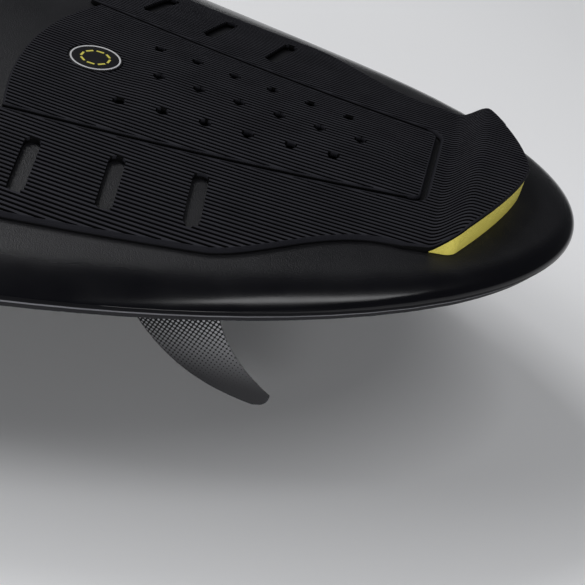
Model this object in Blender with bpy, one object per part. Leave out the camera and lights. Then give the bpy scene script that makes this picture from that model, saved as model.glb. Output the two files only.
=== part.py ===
"""Directional kite surfboard: a sandwich hull, a grooved traction pad with a kick, and two removable fins.

X runs along the board with the tail at +X, Y runs across it, and Z points up from the fin tips.
All sizes are in metres.
"""

import math

import bmesh
import bpy
import numpy as np
from mathutils import Euler, Matrix, Vector
from mathutils.geometry import delaunay_2d_cdt

# Fits between pieces
GAP = 0.0003
WELD = 0.00001

# Hull outline, seen from above
BOARD_LENGTH = 1.500
BOARD_WIDTH = 0.490
WIDE_POINT_FROM_TAIL = 0.690
TAIL_RUN = 0.428
TAIL_ROUNDNESS = 0.120
NOSE_RUN = 0.430
NOSE_ROUNDNESS = 0.095

# Rocker, thickness and rail
TAIL_ROCKER = 0.022
TAIL_ROCKER_RUN = 0.4385
NOSE_ROCKER = 0.085
NOSE_ROCKER_RUN = 0.650
NOSE_ROCKER_POWER = 2.2
MIDDLE_THICKNESS = 0.050
TAIL_THICKNESS = 0.023
NOSE_THICKNESS = 0.015
TAIL_TAPER_RUN = 0.550
NOSE_TAPER_RUN = 0.600
MIDDLE_RAIL_APEX = 0.012
TAIL_RAIL_APEX = 0.007
NOSE_RAIL_APEX = 0.006
RAIL_TUCK = 0.004
RAIL_TUCK_SWEEP = math.radians(70)
DECK_FULLNESS = 0.85
TAIL_FULLNESS = 0.42
TAIL_FULLNESS_RUN = 0.270
TAIL_FULLNESS_RAMP = 0.200
DECK_SKIN = 0.0020
BOTTOM_SKIN = 0.0024
STRINGER_THICKNESS = 0.004

# Lines that the hull surfaces are drawn on
TAIL_FAN_RADIUS = 0.060
NOSE_FAN_RADIUS = 0.080
FAN_STEPS = 8
TAIL_STATIONS = 19
NOSE_STATIONS = 8
DECK_SHARES = (0, 0.35, 0.6, 0.8, 0.92, 0.98, 1)
FLOOR_SHARES = (1, 0.5, 0)
RAIL_STEPS = 3
OUTLINE_SAMPLES = 300

# Traction pad, measured forward from the tail tip
PAD_THICKNESS = 0.0035
PAD_EDGE_BEVEL = 0.0012
PAD_FRONT_FROM_TAIL = 0.3285
WING_FRONT_HALF_WIDTH = 0.163
WING_SHOULDER_FROM_TAIL = 0.1885
WING_SHOULDER_HALF_WIDTH = 0.1335
WAIST_FROM_TAIL = 0.0935
WAIST_HALF_WIDTH = 0.085
WING_CORNER_RADIUS = 0.018
KICK_CORNER_RADIUS = 0.011
SIDE_GROOVE = 0.0016
REAR_GROOVE = 0.0028

# Lines that the pad surfaces are drawn on
PAD_COLUMN_STEP = 0.020
PAD_ROW_STEP = 0.014
PAD_POINT_MARGIN = 0.0012
KICK_COLUMNS = 6

# Middle bar of the pad
BAR_NOSE_FROM_TAIL = 0.3335
BAR_SHOULDER_FROM_TAIL = 0.3195
BAR_REAR_FROM_TAIL = 0.0905
BAR_FRONT_HALF_WIDTH = 0.0766
BAR_REAR_HALF_WIDTH = 0.0406
BAR_CORNER_RADIUS = 0.006
ARCH_RISE = 0.0026
ARCH_FRONT_FROM_TAIL = 0.283
ARCH_RAMP = 0.035

# Drain holes in the middle bar
HOLE_DIAMETER = 0.0074
HOLE_COUNT = 6
HOLE_PITCH = 0.0246
HOLE_FRONT_FROM_TAIL = 0.2671
HOLE_STAGGER = 0.0112
HOLE_FRONT_HALF_SPACING = 0.0383
HOLE_REAR_HALF_SPACING = 0.0248
HOLE_SIDES = 8

# Slots in the wings
SLOT_COUNT = 3
SLOT_LENGTH = 0.0440
SLOT_WIDTH = 0.0090
SLOT_PITCH = 0.0439
SLOT_FRONT_FROM_TAIL = 0.2899
SLOT_FRONT_OFFSET = 0.1160
SLOT_REAR_OFFSET = 0.0993
SLOT_SKEW = math.radians(9.4)
SLOT_END_STEPS = 5

# Kick
KICK_FOOT_FROM_TAIL = 0.0810
KICK_RAMP = 0.0185
KICK_RISE = 0.0132
KICK_TOP_FROM_TAIL = 0.0356
KICK_SWEEP = 0.0445
KICK_HALF_WIDTH = 0.1018
KICK_END_HALF_WIDTH = 0.0790
KICK_REAR_POWER = 1.47
KICK_SIDE_POWER = 12
KICK_COVER = 0.0017
WEDGE_COVER = 0.0010
WEDGE_LEAST = 0.0008

# Badge
BADGE_DIAMETER = 0.0320
BADGE_THICKNESS = 0.0014
BADGE_FROM_TAIL = 0.2952
BADGE_PROUD = 0.0002
BADGE_SIDES = 32

# Fins, each about the middle of its root
FIN_FROM_TAIL = 0.2265
FIN_OFFSET = 0.100
FIN_TOE = math.radians(2)
FIN_ROOT = 0.080
FIN_FRONT_SETBACK = 0.0052
FIN_DEPTH = 0.0920
FIN_TIP_SETBACK = 0.078
FIN_TIP_CHORD = 0.007
FIN_TIP_RISE = 0.009
FIN_THICKNESS = 0.0066
FIN_TIP_THICKNESS = 0.0024
FIN_LEVELS = 10
FIN_CHORD_SHARES = (0, 0.1, 0.32, 0.65, 1)
FIN_FOIL_SHARES = (0.14, 0.72, 1, 0.66, 0.12)

# Fin tabs, boxes, blocks and screws
TAB_LENGTH = 0.022
TAB_THICKNESS = 0.005
TAB_SPACING = 0.046
FIN_BOX_LENGTH = 0.098
FIN_BOX_WIDTH = 0.027
FIN_BOX_ROOF = 0.0030
FIN_BOX_CORNER = 0.008
FIN_BLOCK_LENGTH = 0.112
FIN_BLOCK_WIDTH = 0.042
FIN_BLOCK_ROOF = 0.0012
CORE_ROOF = 0.0012
FIN_BLOCK_CORNER = 0.010
SCREW_DIAMETER = 0.005
SCREW_LENGTH = 0.007
SCREW_TILT = math.radians(20)
SCREW_SIDES = 16
SCREW_TIP_SHARE = 0.76
SOCKET_ACROSS_CORNERS = 0.0029
SOCKET_DEPTH = 0.0025
CORNER_STEPS = 4

TAIL_X = BOARD_LENGTH / 2
NOSE_X = -BOARD_LENGTH / 2
WIDE_X = TAIL_X - WIDE_POINT_FROM_TAIL
TAIL_SPINE_X = TAIL_X - TAIL_FAN_RADIUS
NOSE_SPINE_X = NOSE_X + NOSE_FAN_RADIUS
FIN_X = TAIL_X - FIN_FROM_TAIL


# Curves and sizes along the board


def ease(share):
    """Smooth step from 0 to 1."""
    share = min(max(share, 0.0), 1.0)
    return share * share * (3 - 2 * share)


def mix(first, second, share):
    return first + (second - first) * share


def bezier(p0, p1, p2, p3, samples):
    t = np.linspace(0, 1, samples)[:, None]
    return (
        (1 - t) ** 3 * np.array(p0)
        + 3 * (1 - t) ** 2 * t * np.array(p1)
        + 3 * (1 - t) * t**2 * np.array(p2)
        + t**3 * np.array(p3)
    )


def outline_samples():
    """Points of the +Y half of the outline, from the nose tip to the tail tip."""
    half = BOARD_WIDTH / 2
    nose = bezier(
        (NOSE_X, 0), (NOSE_X, NOSE_ROUNDNESS), (WIDE_X - NOSE_RUN, half), (WIDE_X, half), OUTLINE_SAMPLES
    )
    tail = bezier(
        (WIDE_X, half), (WIDE_X + TAIL_RUN, half), (TAIL_X, TAIL_ROUNDNESS), (TAIL_X, 0), OUTLINE_SAMPLES
    )
    return np.vstack([nose, tail[1:]])


OUTLINE = outline_samples()


def half_width(x):
    return float(np.interp(x, OUTLINE[:, 0], OUTLINE[:, 1]))


def fan_table(spine_x, side):
    """Angles and reaches of the rim round one end of the spine; side is +1 at the tail, -1 at the nose."""
    ahead = side * (OUTLINE[:, 0] - spine_x)
    points = OUTLINE[ahead >= 0]
    angles = np.arctan2(points[:, 1], side * (points[:, 0] - spine_x))
    reaches = np.hypot(points[:, 1], points[:, 0] - spine_x)
    order = np.argsort(angles)
    return angles[order], reaches[order]


FANS = {1: fan_table(TAIL_SPINE_X, 1), -1: fan_table(NOSE_SPINE_X, -1)}


def rim_share(x, y):
    """How far out a point lies between the spine (0) and the rim (1), and the x of that rim point."""
    if NOSE_SPINE_X <= x <= TAIL_SPINE_X:
        return abs(y) / half_width(x), x
    side = 1 if x > TAIL_SPINE_X else -1
    spine_x = TAIL_SPINE_X if side == 1 else NOSE_SPINE_X
    angle = math.atan2(abs(y), side * (x - spine_x))
    reach = float(np.interp(angle, *FANS[side]))
    return math.hypot(y, x - spine_x) / reach, spine_x + side * reach * math.cos(angle)


def along(x, nose, middle, tail):
    """A size that keeps its middle value amidships and eases to its end values."""
    toward_tail = ease((x - (TAIL_X - TAIL_TAPER_RUN)) / TAIL_TAPER_RUN)
    toward_nose = ease((NOSE_X + NOSE_TAPER_RUN - x) / NOSE_TAPER_RUN)
    return middle + (tail - middle) * toward_tail + (nose - middle) * toward_nose


def rocker(x):
    tail = max(0.0, (x - TAIL_X) / TAIL_ROCKER_RUN + 1)
    nose = max(0.0, (NOSE_X - x) / NOSE_ROCKER_RUN + 1)
    return TAIL_ROCKER * tail**2 + NOSE_ROCKER * nose**NOSE_ROCKER_POWER


FIN_PITCH = math.atan(2 * TAIL_ROCKER * max(0.0, (FIN_X - TAIL_X) / TAIL_ROCKER_RUN + 1) / TAIL_ROCKER_RUN)


def fin_edges():
    """Leading and trailing edges of a fin as (x, depth) below the middle of its root."""
    tip = FIN_TIP_SETBACK
    leading = bezier(
        (FIN_FRONT_SETBACK - FIN_ROOT / 2, 0),
        (-FIN_ROOT / 6, FIN_DEPTH * 0.3),
        (tip * 0.08, FIN_DEPTH),
        (tip, FIN_DEPTH),
        OUTLINE_SAMPLES,
    )
    heel = FIN_DEPTH - FIN_TIP_RISE
    trailing = bezier(
        (FIN_ROOT / 2, 0),
        (FIN_ROOT * 0.55, heel * 0.36),
        (FIN_ROOT * 0.62, heel * 0.75),
        (tip + FIN_TIP_CHORD, heel),
        OUTLINE_SAMPLES,
    )
    return leading, trailing


FIN_LEADING, FIN_TRAILING = fin_edges()
FIN_REACH = max(FIN_LEADING[:, 1] * math.cos(FIN_PITCH) - FIN_LEADING[:, 0] * math.sin(FIN_PITCH))
FLAT_Z = FIN_REACH - rocker(FIN_X)


def bottom_height(x):
    return FLAT_Z + rocker(x)


def bottom_curl(reach):
    """How far the bottom rises off the plane that touches it under a fin, this far from the fin's middle."""
    rises = [bottom_height(FIN_X + way * reach) - bottom_height(FIN_X) for way in (-1, 1)]
    slope = math.tan(FIN_PITCH) * reach
    return max(0.0, rises[0] + slope, rises[1] - slope)


def apex_height(x):
    return bottom_height(x) + along(x, NOSE_RAIL_APEX, MIDDLE_RAIL_APEX, TAIL_RAIL_APEX)


def deck_line(x):
    return bottom_height(x) + along(x, NOSE_THICKNESS, MIDDLE_THICKNESS, TAIL_THICKNESS)


def crowned(share, x, rim_x, sink=0.0):
    """Height of the deck at a share of the way from spine to rim."""
    apex = apex_height(rim_x)
    flatter = ease((x - TAIL_X + TAIL_FULLNESS_RUN) / TAIL_FULLNESS_RAMP)
    fullness = mix(DECK_FULLNESS, TAIL_FULLNESS, flatter)
    return apex + (deck_line(x) - sink - apex) * max(0.0, 1 - share * share) ** fullness


def deck_height(x, y):
    share, rim_x = rim_share(x, y)
    return crowned(share, x, rim_x)


def fin_room():
    """Depth over the corners of a fin block, from the bottom up to the inside of the deck skin."""
    cosine = math.cos(FIN_TOE)
    sine = math.sin(FIN_TOE)
    depths = []
    for along_x in (-FIN_BLOCK_LENGTH / 2, FIN_BLOCK_LENGTH / 2):
        for along_y in (-FIN_BLOCK_WIDTH / 2, FIN_BLOCK_WIDTH / 2):
            run = along_x * cosine - along_y * sine
            y = FIN_OFFSET + along_x * sine + along_y * cosine
            rise = deck_height(FIN_X + run, y) - bottom_height(FIN_X)
            depths.append((rise - run * math.tan(FIN_PITCH)) * math.cos(FIN_PITCH))
    return min(depths) - DECK_SKIN


FIN_BLOCK_HEIGHT = fin_room() - CORE_ROOF
FIN_BOX_HEIGHT = FIN_BLOCK_HEIGHT - FIN_BLOCK_ROOF
TAB_DEPTH = FIN_BOX_HEIGHT - FIN_BOX_ROOF
SCREW_TIP_HEIGHT = TAB_DEPTH * SCREW_TIP_SHARE


# Mesh helpers


def clear_scene():
    for old in list(bpy.data.objects):
        bpy.data.objects.remove(old, do_unlink=True)


def material(name, color, roughness, metallic=0.0):
    made = bpy.data.materials.new(name)
    made.use_nodes = True
    shader = made.node_tree.nodes["Principled BSDF"]
    shader.inputs["Base Color"].default_value = (*color, 1)
    shader.inputs["Roughness"].default_value = roughness
    shader.inputs["Metallic"].default_value = metallic
    return made


def add_object(name, mesh, look=None, parent=None):
    """A piece of the board, or a hidden cutter if it has no look."""
    made = bpy.data.objects.new(name, mesh)
    bpy.context.scene.collection.objects.link(made)
    made.parent = parent
    if look is None:
        made.hide_render = True
        made.display_type = "WIRE"
    else:
        mesh.materials.append(material(name, *look))
        mesh.shade_smooth()
        mesh.set_sharp_from_angle(angle=math.radians(35))
    return made


def finish_mesh(bm, name):
    bmesh.ops.remove_doubles(bm, verts=bm.verts, dist=WELD)
    bmesh.ops.recalc_face_normals(bm, faces=bm.faces)
    mesh = bpy.data.meshes.new(name)
    bm.to_mesh(mesh)
    bm.free()
    return mesh


def loft(name, rings):
    """Closed skin through rings of equal length, the first and last drawn together on the spine.

    Facets split the same way whether the rings run outward or inward, so that facing skins stay apart.
    """
    bm = bmesh.new()
    rows = [[bm.verts.new(point) for point in ring] for ring in rings]
    count = len(rings[0])
    for first, second in zip(rows, rows[1:]):
        spread = [sum(abs(vert.co.y) for vert in row) for row in (first, second)]
        inner, outer = (first, second) if spread[0] <= spread[1] else (second, first)
        for i in range(count):
            j = (i + 1) % count
            bm.faces.new((inner[i], outer[i], outer[j]))
            bm.faces.new((inner[i], outer[j], inner[j]))
    return finish_mesh(bm, name)


def prism(name, loop, low, high):
    """Upright solid on a loop of (x, y) points."""
    bm = bmesh.new()
    base = bm.faces.new([bm.verts.new((x, y, low)) for x, y in loop])
    raised = bmesh.ops.extrude_face_region(bm, geom=[base])["geom"]
    lifted = [item for item in raised if isinstance(item, bmesh.types.BMVert)]
    bmesh.ops.translate(bm, verts=lifted, vec=(0, 0, high - low))
    return finish_mesh(bm, name)


def cylinder(name, radius, low, high, sides, turn=None):
    loop = [(radius * math.cos(a), radius * math.sin(a)) for a in np.arange(sides) * 2 * math.pi / sides]
    mesh = prism(name, loop, low, high)
    if turn is not None:
        mesh.transform(turn)
    return mesh


def cut(target, cutter, operation="DIFFERENCE"):
    modifier = target.modifiers.new(cutter.name, "BOOLEAN")
    modifier.operation = operation
    modifier.solver = "EXACT"
    modifier.object = cutter


def rounded(corners):
    """Loop of (x, y) points from (x, y, radius) corners, with an arc in place of each rounded corner."""
    loop = []
    for i, (x, y, radius) in enumerate(corners):
        corner = Vector((x, y))
        if radius <= 0:
            loop.append((x, y))
            continue
        before = (Vector(corners[i - 1][:2]) - corner).normalized()
        after = (Vector(corners[(i + 1) % len(corners)][:2]) - corner).normalized()
        half = before.angle(after) / 2
        center = corner + (before + after).normalized() * radius / math.sin(half)
        start = corner + before * radius / math.tan(half) - center
        end = corner + after * radius / math.tan(half) - center
        turn = start.angle_signed(end)
        for step in range(CORNER_STEPS + 1):
            spoke = start.copy()
            spoke.rotate(Matrix.Rotation(-turn * step / CORNER_STEPS, 2))
            loop.append(tuple(center + spoke))
    return loop


def rounded_box(length, width, radius):
    a = length / 2
    b = width / 2
    return rounded([(a, -b, radius), (a, b, radius), (-a, b, radius), (-a, -b, radius)])


# Hull


def plan_lines():
    """Lines from the spine to the rim, as (spine x, rim x, rim y), once round from the tail tip."""
    half = []
    for step in range(FAN_STEPS):
        angle = step * math.pi / 2 / FAN_STEPS
        reach = float(np.interp(angle, *FANS[1]))
        half.append((TAIL_SPINE_X, TAIL_SPINE_X + reach * math.cos(angle), reach * math.sin(angle)))
    tail_half = np.linspace(TAIL_SPINE_X, WIDE_X, TAIL_STATIONS)
    nose_half = np.linspace(WIDE_X, NOSE_SPINE_X, NOSE_STATIONS)
    for x in np.concatenate([tail_half, nose_half[1:]]):
        half.append((x, x, half_width(x)))
    for step in range(FAN_STEPS - 1, -1, -1):
        angle = step * math.pi / 2 / FAN_STEPS
        reach = float(np.interp(angle, *FANS[-1]))
        half.append((NOSE_SPINE_X, NOSE_SPINE_X - reach * math.cos(angle), reach * math.sin(angle)))
    other_half = [(spine_x, rim_x, -rim_y) for spine_x, rim_x, rim_y in half[-2:0:-1]]
    return half + other_half


LINES = plan_lines()


def plan_point(line, share, inset):
    """Point at a share of the way from the spine to the rim, the rim being drawn in by inset."""
    spine_x, rim_x, rim_y = line
    reach = math.hypot(rim_x - spine_x, rim_y)
    scale = share * (reach - inset) / reach
    return spine_x + (rim_x - spine_x) * scale, rim_y * scale


def deck_rings(inset):
    """Rings of a skin that lies inset inside the deck and rail, from the spine to the hard edge."""
    rings = []
    for share in DECK_SHARES:
        ring = []
        for line in LINES:
            x, y = plan_point(line, share, inset)
            ring.append((x, y, crowned(share, x, line[1], inset)))
        rings.append(ring)
    for step in range(1, RAIL_STEPS + 1):
        angle = RAIL_TUCK_SWEEP * step / RAIL_STEPS
        tuck = RAIL_TUCK * (1 - math.cos(angle)) / (1 - math.cos(RAIL_TUCK_SWEEP))
        fall = math.sin(angle) / math.sin(RAIL_TUCK_SWEEP)
        ring = []
        for line in LINES:
            x, y = plan_point(line, 1, inset + tuck)
            ring.append((x, y, mix(apex_height(line[1]), floor_height(x), fall)))
        rings.append(ring)
    return rings


def floor_height(x):
    """Top of the bottom skin with its bond gap, where the rail and the core stand."""
    return bottom_height(x) + BOTTOM_SKIN + GAP


def flat_rings(shares, inset, height):
    rings = []
    for share in shares:
        points = [plan_point(line, share, inset) for line in LINES]
        rings.append([(x, y, height(x)) for x, y in points])
    return rings


def build_hull():
    outside = deck_rings(0)
    inside = deck_rings(DECK_SKIN)
    skin = loft("deck_shell", outside + inside[::-1])
    add_object("deck_shell", skin, ((0.012, 0.012, 0.014), 0.35))

    top = flat_rings(FLOOR_SHARES[::-1], RAIL_TUCK, lambda x: bottom_height(x) + BOTTOM_SKIN)
    under = flat_rings(FLOOR_SHARES, RAIL_TUCK, bottom_height)
    bottom = add_object("bottom_shell", loft("bottom_shell", top + under), ((0.05, 0.05, 0.055), 0.4))

    core_inset = DECK_SKIN + GAP
    floor = flat_rings(FLOOR_SHARES[1:], RAIL_TUCK + core_inset, floor_height)
    blank = loft("blank", deck_rings(core_inset) + floor)
    room = BOARD_LENGTH
    web = STRINGER_THICKNESS / 2
    slab = prism("stringer_slab", [(-room, -web), (room, -web), (room, web), (-room, web)], -room, room)
    stringer = add_object("stringer", blank, ((0.55, 0.36, 0.19), 0.6))
    cut(stringer, add_object("stringer_slab", slab), "INTERSECT")
    cores = {}
    for name, side in SIDES:
        edge = web + GAP
        loop = [(-room, side * edge), (room, side * edge), (room, side * room), (-room, side * room)]
        half = add_object(f"core_half_{name}", prism(f"core_half_{name}", loop, -room, room))
        cores[name] = add_object(f"foam_core_{name}", blank.copy(), ((0.9, 0.9, 0.88), 0.9))
        cut(cores[name], half, "INTERSECT")
    return bottom, cores


# Fins


SIDES = (("left", -1), ("right", 1))


def fin_blade(name):
    """Foiled blade, hung from its root just below the bottom skin."""
    tip_start = FIN_TRAILING[-1]
    rings = []
    for level in range(FIN_LEVELS + 1):
        share = math.sin(level / FIN_LEVELS * math.pi / 2)
        depth = mix(GAP, FIN_DEPTH, min(share, 0.997))
        front = float(np.interp(depth, FIN_LEADING[:, 1], FIN_LEADING[:, 0]))
        if depth <= tip_start[1]:
            rear = float(np.interp(depth, FIN_TRAILING[:, 1], FIN_TRAILING[:, 0]))
        else:
            fall = (depth - tip_start[1]) / FIN_TIP_RISE
            rear = tip_start[0] - FIN_TIP_CHORD * (1 - math.sqrt(1 - fall * fall))
        thick = mix(FIN_THICKNESS, FIN_TIP_THICKNESS, share) / 2
        upper = []
        for chord, foil in zip(FIN_CHORD_SHARES, FIN_FOIL_SHARES):
            upper.append((mix(front, rear, chord), thick * foil, -depth))
        rings.append(upper + [(x, -y, z) for x, y, z in reversed(upper)])
    bm = bmesh.new()
    rows = [[bm.verts.new(point) for point in ring] for ring in rings]
    for upper_row, lower_row in zip(rows, rows[1:]):
        for i in range(len(upper_row)):
            j = (i + 1) % len(upper_row)
            bm.faces.new((upper_row[i], lower_row[i], lower_row[j], upper_row[j]))
    bm.faces.new(rows[0])
    bm.faces.new(rows[-1])
    return finish_mesh(bm, name)


def tab_prism(name, middle, clearance, low, high):
    loop = rounded_box(TAB_LENGTH + 2 * clearance, TAB_THICKNESS + 2 * clearance, 0)
    return prism(name, [(middle + x, y) for x, y in loop], low, high)


def screw_turn(middle, side):
    """Places a screw so that the rim of its tip meets the side of the tab."""
    tip_y = TAB_THICKNESS / 2 + 2 * GAP + SCREW_DIAMETER / 2 * math.cos(SCREW_TILT)
    tilt = Matrix.Rotation(side * SCREW_TILT, 4, "X")
    return Matrix.Translation((middle, side * tip_y, SCREW_TIP_HEIGHT)) @ tilt


def build_fin(name, side, bottom, core):
    mount = bpy.data.objects.new(f"fin_mount_{name}", None)
    bpy.context.scene.collection.objects.link(mount)
    mount.location = (FIN_X, side * FIN_OFFSET, bottom_height(FIN_X))
    mount.rotation_euler = Euler((0, -FIN_PITCH, side * FIN_TOE))

    block_low = BOTTOM_SKIN + 2 * GAP + bottom_curl(FIN_BLOCK_LENGTH / 2)
    block_loop = rounded_box(FIN_BLOCK_LENGTH, FIN_BLOCK_WIDTH, FIN_BLOCK_CORNER)
    block_mesh = prism(f"fin_block_{name}", block_loop, block_low, FIN_BLOCK_HEIGHT)
    block = add_object(f"fin_block_{name}", block_mesh, ((0.75, 0.62, 0.35), 0.85), mount)
    pocket_loop = rounded_box(FIN_BLOCK_LENGTH + 2 * GAP, FIN_BLOCK_WIDTH + 2 * GAP, FIN_BLOCK_CORNER + GAP)
    pocket = prism(f"block_pocket_{name}", pocket_loop, -FIN_BLOCK_HEIGHT, FIN_BLOCK_HEIGHT + GAP)
    cut(core, add_object(f"block_pocket_{name}", pocket, parent=mount))

    box_loop = rounded_box(FIN_BOX_LENGTH, FIN_BOX_WIDTH, FIN_BOX_CORNER)
    box_mesh = prism(f"fin_box_{name}", box_loop, 0, FIN_BOX_HEIGHT)
    box = add_object(f"fin_box_{name}", box_mesh, ((0.02, 0.02, 0.022), 0.5), mount)
    room_loop = rounded_box(FIN_BOX_LENGTH + 2 * GAP, FIN_BOX_WIDTH + 2 * GAP, FIN_BOX_CORNER + GAP)
    room = prism(f"box_room_{name}", room_loop, -FIN_BOX_HEIGHT, FIN_BOX_HEIGHT + GAP)
    box_room = add_object(f"box_room_{name}", room, parent=mount)
    cut(block, box_room)
    cut(bottom, box_room)

    fin = add_object(f"fin_{name}", fin_blade(f"fin_{name}"), ((0.16, 0.16, 0.17), 0.45), mount)
    for place, way in (("front", -1), ("rear", 1)):
        middle = way * TAB_SPACING / 2
        label = f"{name}_{place}"
        tab = tab_prism(f"tab_{label}", middle, 0, -FIN_THICKNESS, TAB_DEPTH)
        cut(fin, add_object(f"tab_{label}", tab, parent=mount), "UNION")
        slot = tab_prism(f"tab_slot_{label}", middle, GAP, -FIN_BOX_HEIGHT, TAB_DEPTH + GAP)
        cut(box, add_object(f"tab_slot_{label}", slot, parent=mount))

        turn = screw_turn(middle, side)
        radius = SCREW_DIAMETER / 2
        bore = cylinder(f"bore_{label}", radius + GAP, -FIN_BOX_HEIGHT, GAP, SCREW_SIDES, turn)
        cut(box, add_object(f"bore_{label}", bore, parent=mount))
        seat = bpy.data.objects.new(f"screw_seat_{label}", None)
        bpy.context.scene.collection.objects.link(seat)
        seat.parent = mount
        seat.matrix_local = turn
        body = cylinder(f"fin_screw_{label}", radius, -SCREW_LENGTH, 0, SCREW_SIDES)
        screw = add_object(f"fin_screw_{label}", body, ((0.55, 0.55, 0.56), 0.3, 1.0), seat)
        mouth = -SCREW_LENGTH + SOCKET_DEPTH
        hexagon = cylinder(f"socket_{label}", SOCKET_ACROSS_CORNERS / 2, -2 * SCREW_LENGTH, mouth, 6)
        cut(screw, add_object(f"socket_{label}", hexagon, parent=seat))


# Traction pad


def from_tail(distance):
    return TAIL_X - distance


def wing_edge(x):
    """Half width of the pad's outer edge: a straight wing that draws in to the waist before the kick."""
    front_x = from_tail(PAD_FRONT_FROM_TAIL)
    shoulder_x = from_tail(WING_SHOULDER_FROM_TAIL)
    slope = (WING_SHOULDER_HALF_WIDTH - WING_FRONT_HALF_WIDTH) / (shoulder_x - front_x)
    straight = WING_FRONT_HALF_WIDTH + slope * (x - front_x)
    waist = (x - shoulder_x) / (from_tail(WAIST_FROM_TAIL) - shoulder_x)
    return mix(straight, WAIST_HALF_WIDTH, ease(waist))


WEDGE_GAIN = (KICK_RISE + PAD_THICKNESS - KICK_COVER + WEDGE_COVER) / KICK_RISE


def kick_rear(y):
    """The x of the kick's rear edge."""
    return from_tail(KICK_TOP_FROM_TAIL) - KICK_SWEEP * (abs(y) / KICK_HALF_WIDTH) ** KICK_REAR_POWER


def kick_rows():
    """Distances from the centre line to the points of half of the kick's rear edge, as far as its corner."""
    return [float(y) for y in np.linspace(0, KICK_END_HALF_WIDTH - KICK_CORNER_RADIUS, 12)]


def kick_side(y):
    return max(0.0, 1 - (abs(y) / KICK_HALF_WIDTH) ** KICK_SIDE_POWER)


def kick_rise(x, y):
    """Height that the kick adds to the pad."""
    return KICK_RISE * ease((x - from_tail(KICK_FOOT_FROM_TAIL)) / KICK_RAMP) * kick_side(y)


def wedge_lift(x, y):
    """Height of the wedge under the kick's cover, which thins from the pad's thickness at the foot."""
    return max(0.0, kick_rise(x, y) * WEDGE_GAIN - WEDGE_COVER)


def bar_half_width(x):
    front = from_tail(BAR_SHOULDER_FROM_TAIL)
    rear = from_tail(BAR_REAR_FROM_TAIL)
    return mix(BAR_FRONT_HALF_WIDTH, BAR_REAR_HALF_WIDTH, (x - front) / (rear - front))


def arch_rise(x, y):
    """Height that the middle bar's arch adds to the pad."""
    front = from_tail(ARCH_FRONT_FROM_TAIL)
    rear = from_tail(BAR_REAR_FROM_TAIL)
    run = min(ease((x - front) / ARCH_RAMP), ease((rear - x) / ARCH_RAMP))
    share = min(1.0, abs(y) / bar_half_width(x))
    return ARCH_RISE * run * (1 - share * share)


def bar_loop(grow_side=0.0, grow_rear=0.0):
    """The middle bar's rear corners and sides, grown for the groove round it."""
    shoulder = from_tail(BAR_SHOULDER_FROM_TAIL)
    rear = from_tail(BAR_REAR_FROM_TAIL)
    side = bar_half_width(shoulder) + grow_side
    back = bar_half_width(rear) + grow_side
    corner = BAR_CORNER_RADIUS + grow_rear
    loop = rounded([(shoulder, side, 0), (rear + grow_rear, back, corner), (rear + grow_rear, -back, 0)])
    return loop[:-1]


def split(first, last, step):
    """Evenly spaced points between two ends, about a step apart and without the last end."""
    count = max(1, round(math.dist(first, last) / step))
    return [tuple(mix(np.array(first), np.array(last), i / count)) for i in range(count)]


def dense(loop, step):
    points = []
    for i in range(len(loop)):
        points += split(loop[i], loop[(i + 1) % len(loop)], step)
    return points


def ring_loop(x, y, diameter, sides):
    angles = np.arange(sides) * 2 * math.pi / sides
    return [(x + diameter / 2 * math.cos(a), y + diameter / 2 * math.sin(a)) for a in angles]


def slot_loop(x, y, turn):
    """Round-ended slot across a wing."""
    radius = SLOT_WIDTH / 2
    reach = SLOT_LENGTH / 2 - radius
    points = []
    for end in (1, -1):
        for step in range(SLOT_END_STEPS + 1):
            angle = math.pi * step / SLOT_END_STEPS
            points.append((radius * math.cos(angle) * end, end * (reach + radius * math.sin(angle))))
    cosine = math.cos(turn)
    sine = math.sin(turn)
    return [(x + u * cosine - v * sine, y + u * sine + v * cosine) for u, v in points]


def inside(point, loop):
    """Whether a point lies inside a loop."""
    x, y = point
    found = False
    for (x0, y0), (x1, y1) in zip(loop, loop[1:] + loop[:1]):
        if (y0 > y) != (y1 > y) and x < x0 + (y - y0) * (x1 - x0) / (y1 - y0):
            found = not found
    return found


def edge_distance(point, loop):
    start = np.array(loop)
    step = np.roll(start, -1, axis=0) - start
    offset = np.array(point) - start
    share = np.clip((offset * step).sum(1) / (step * step).sum(1), 0, 1)
    return float(np.hypot(*(offset - step * share[:, None]).T).min())


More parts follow.
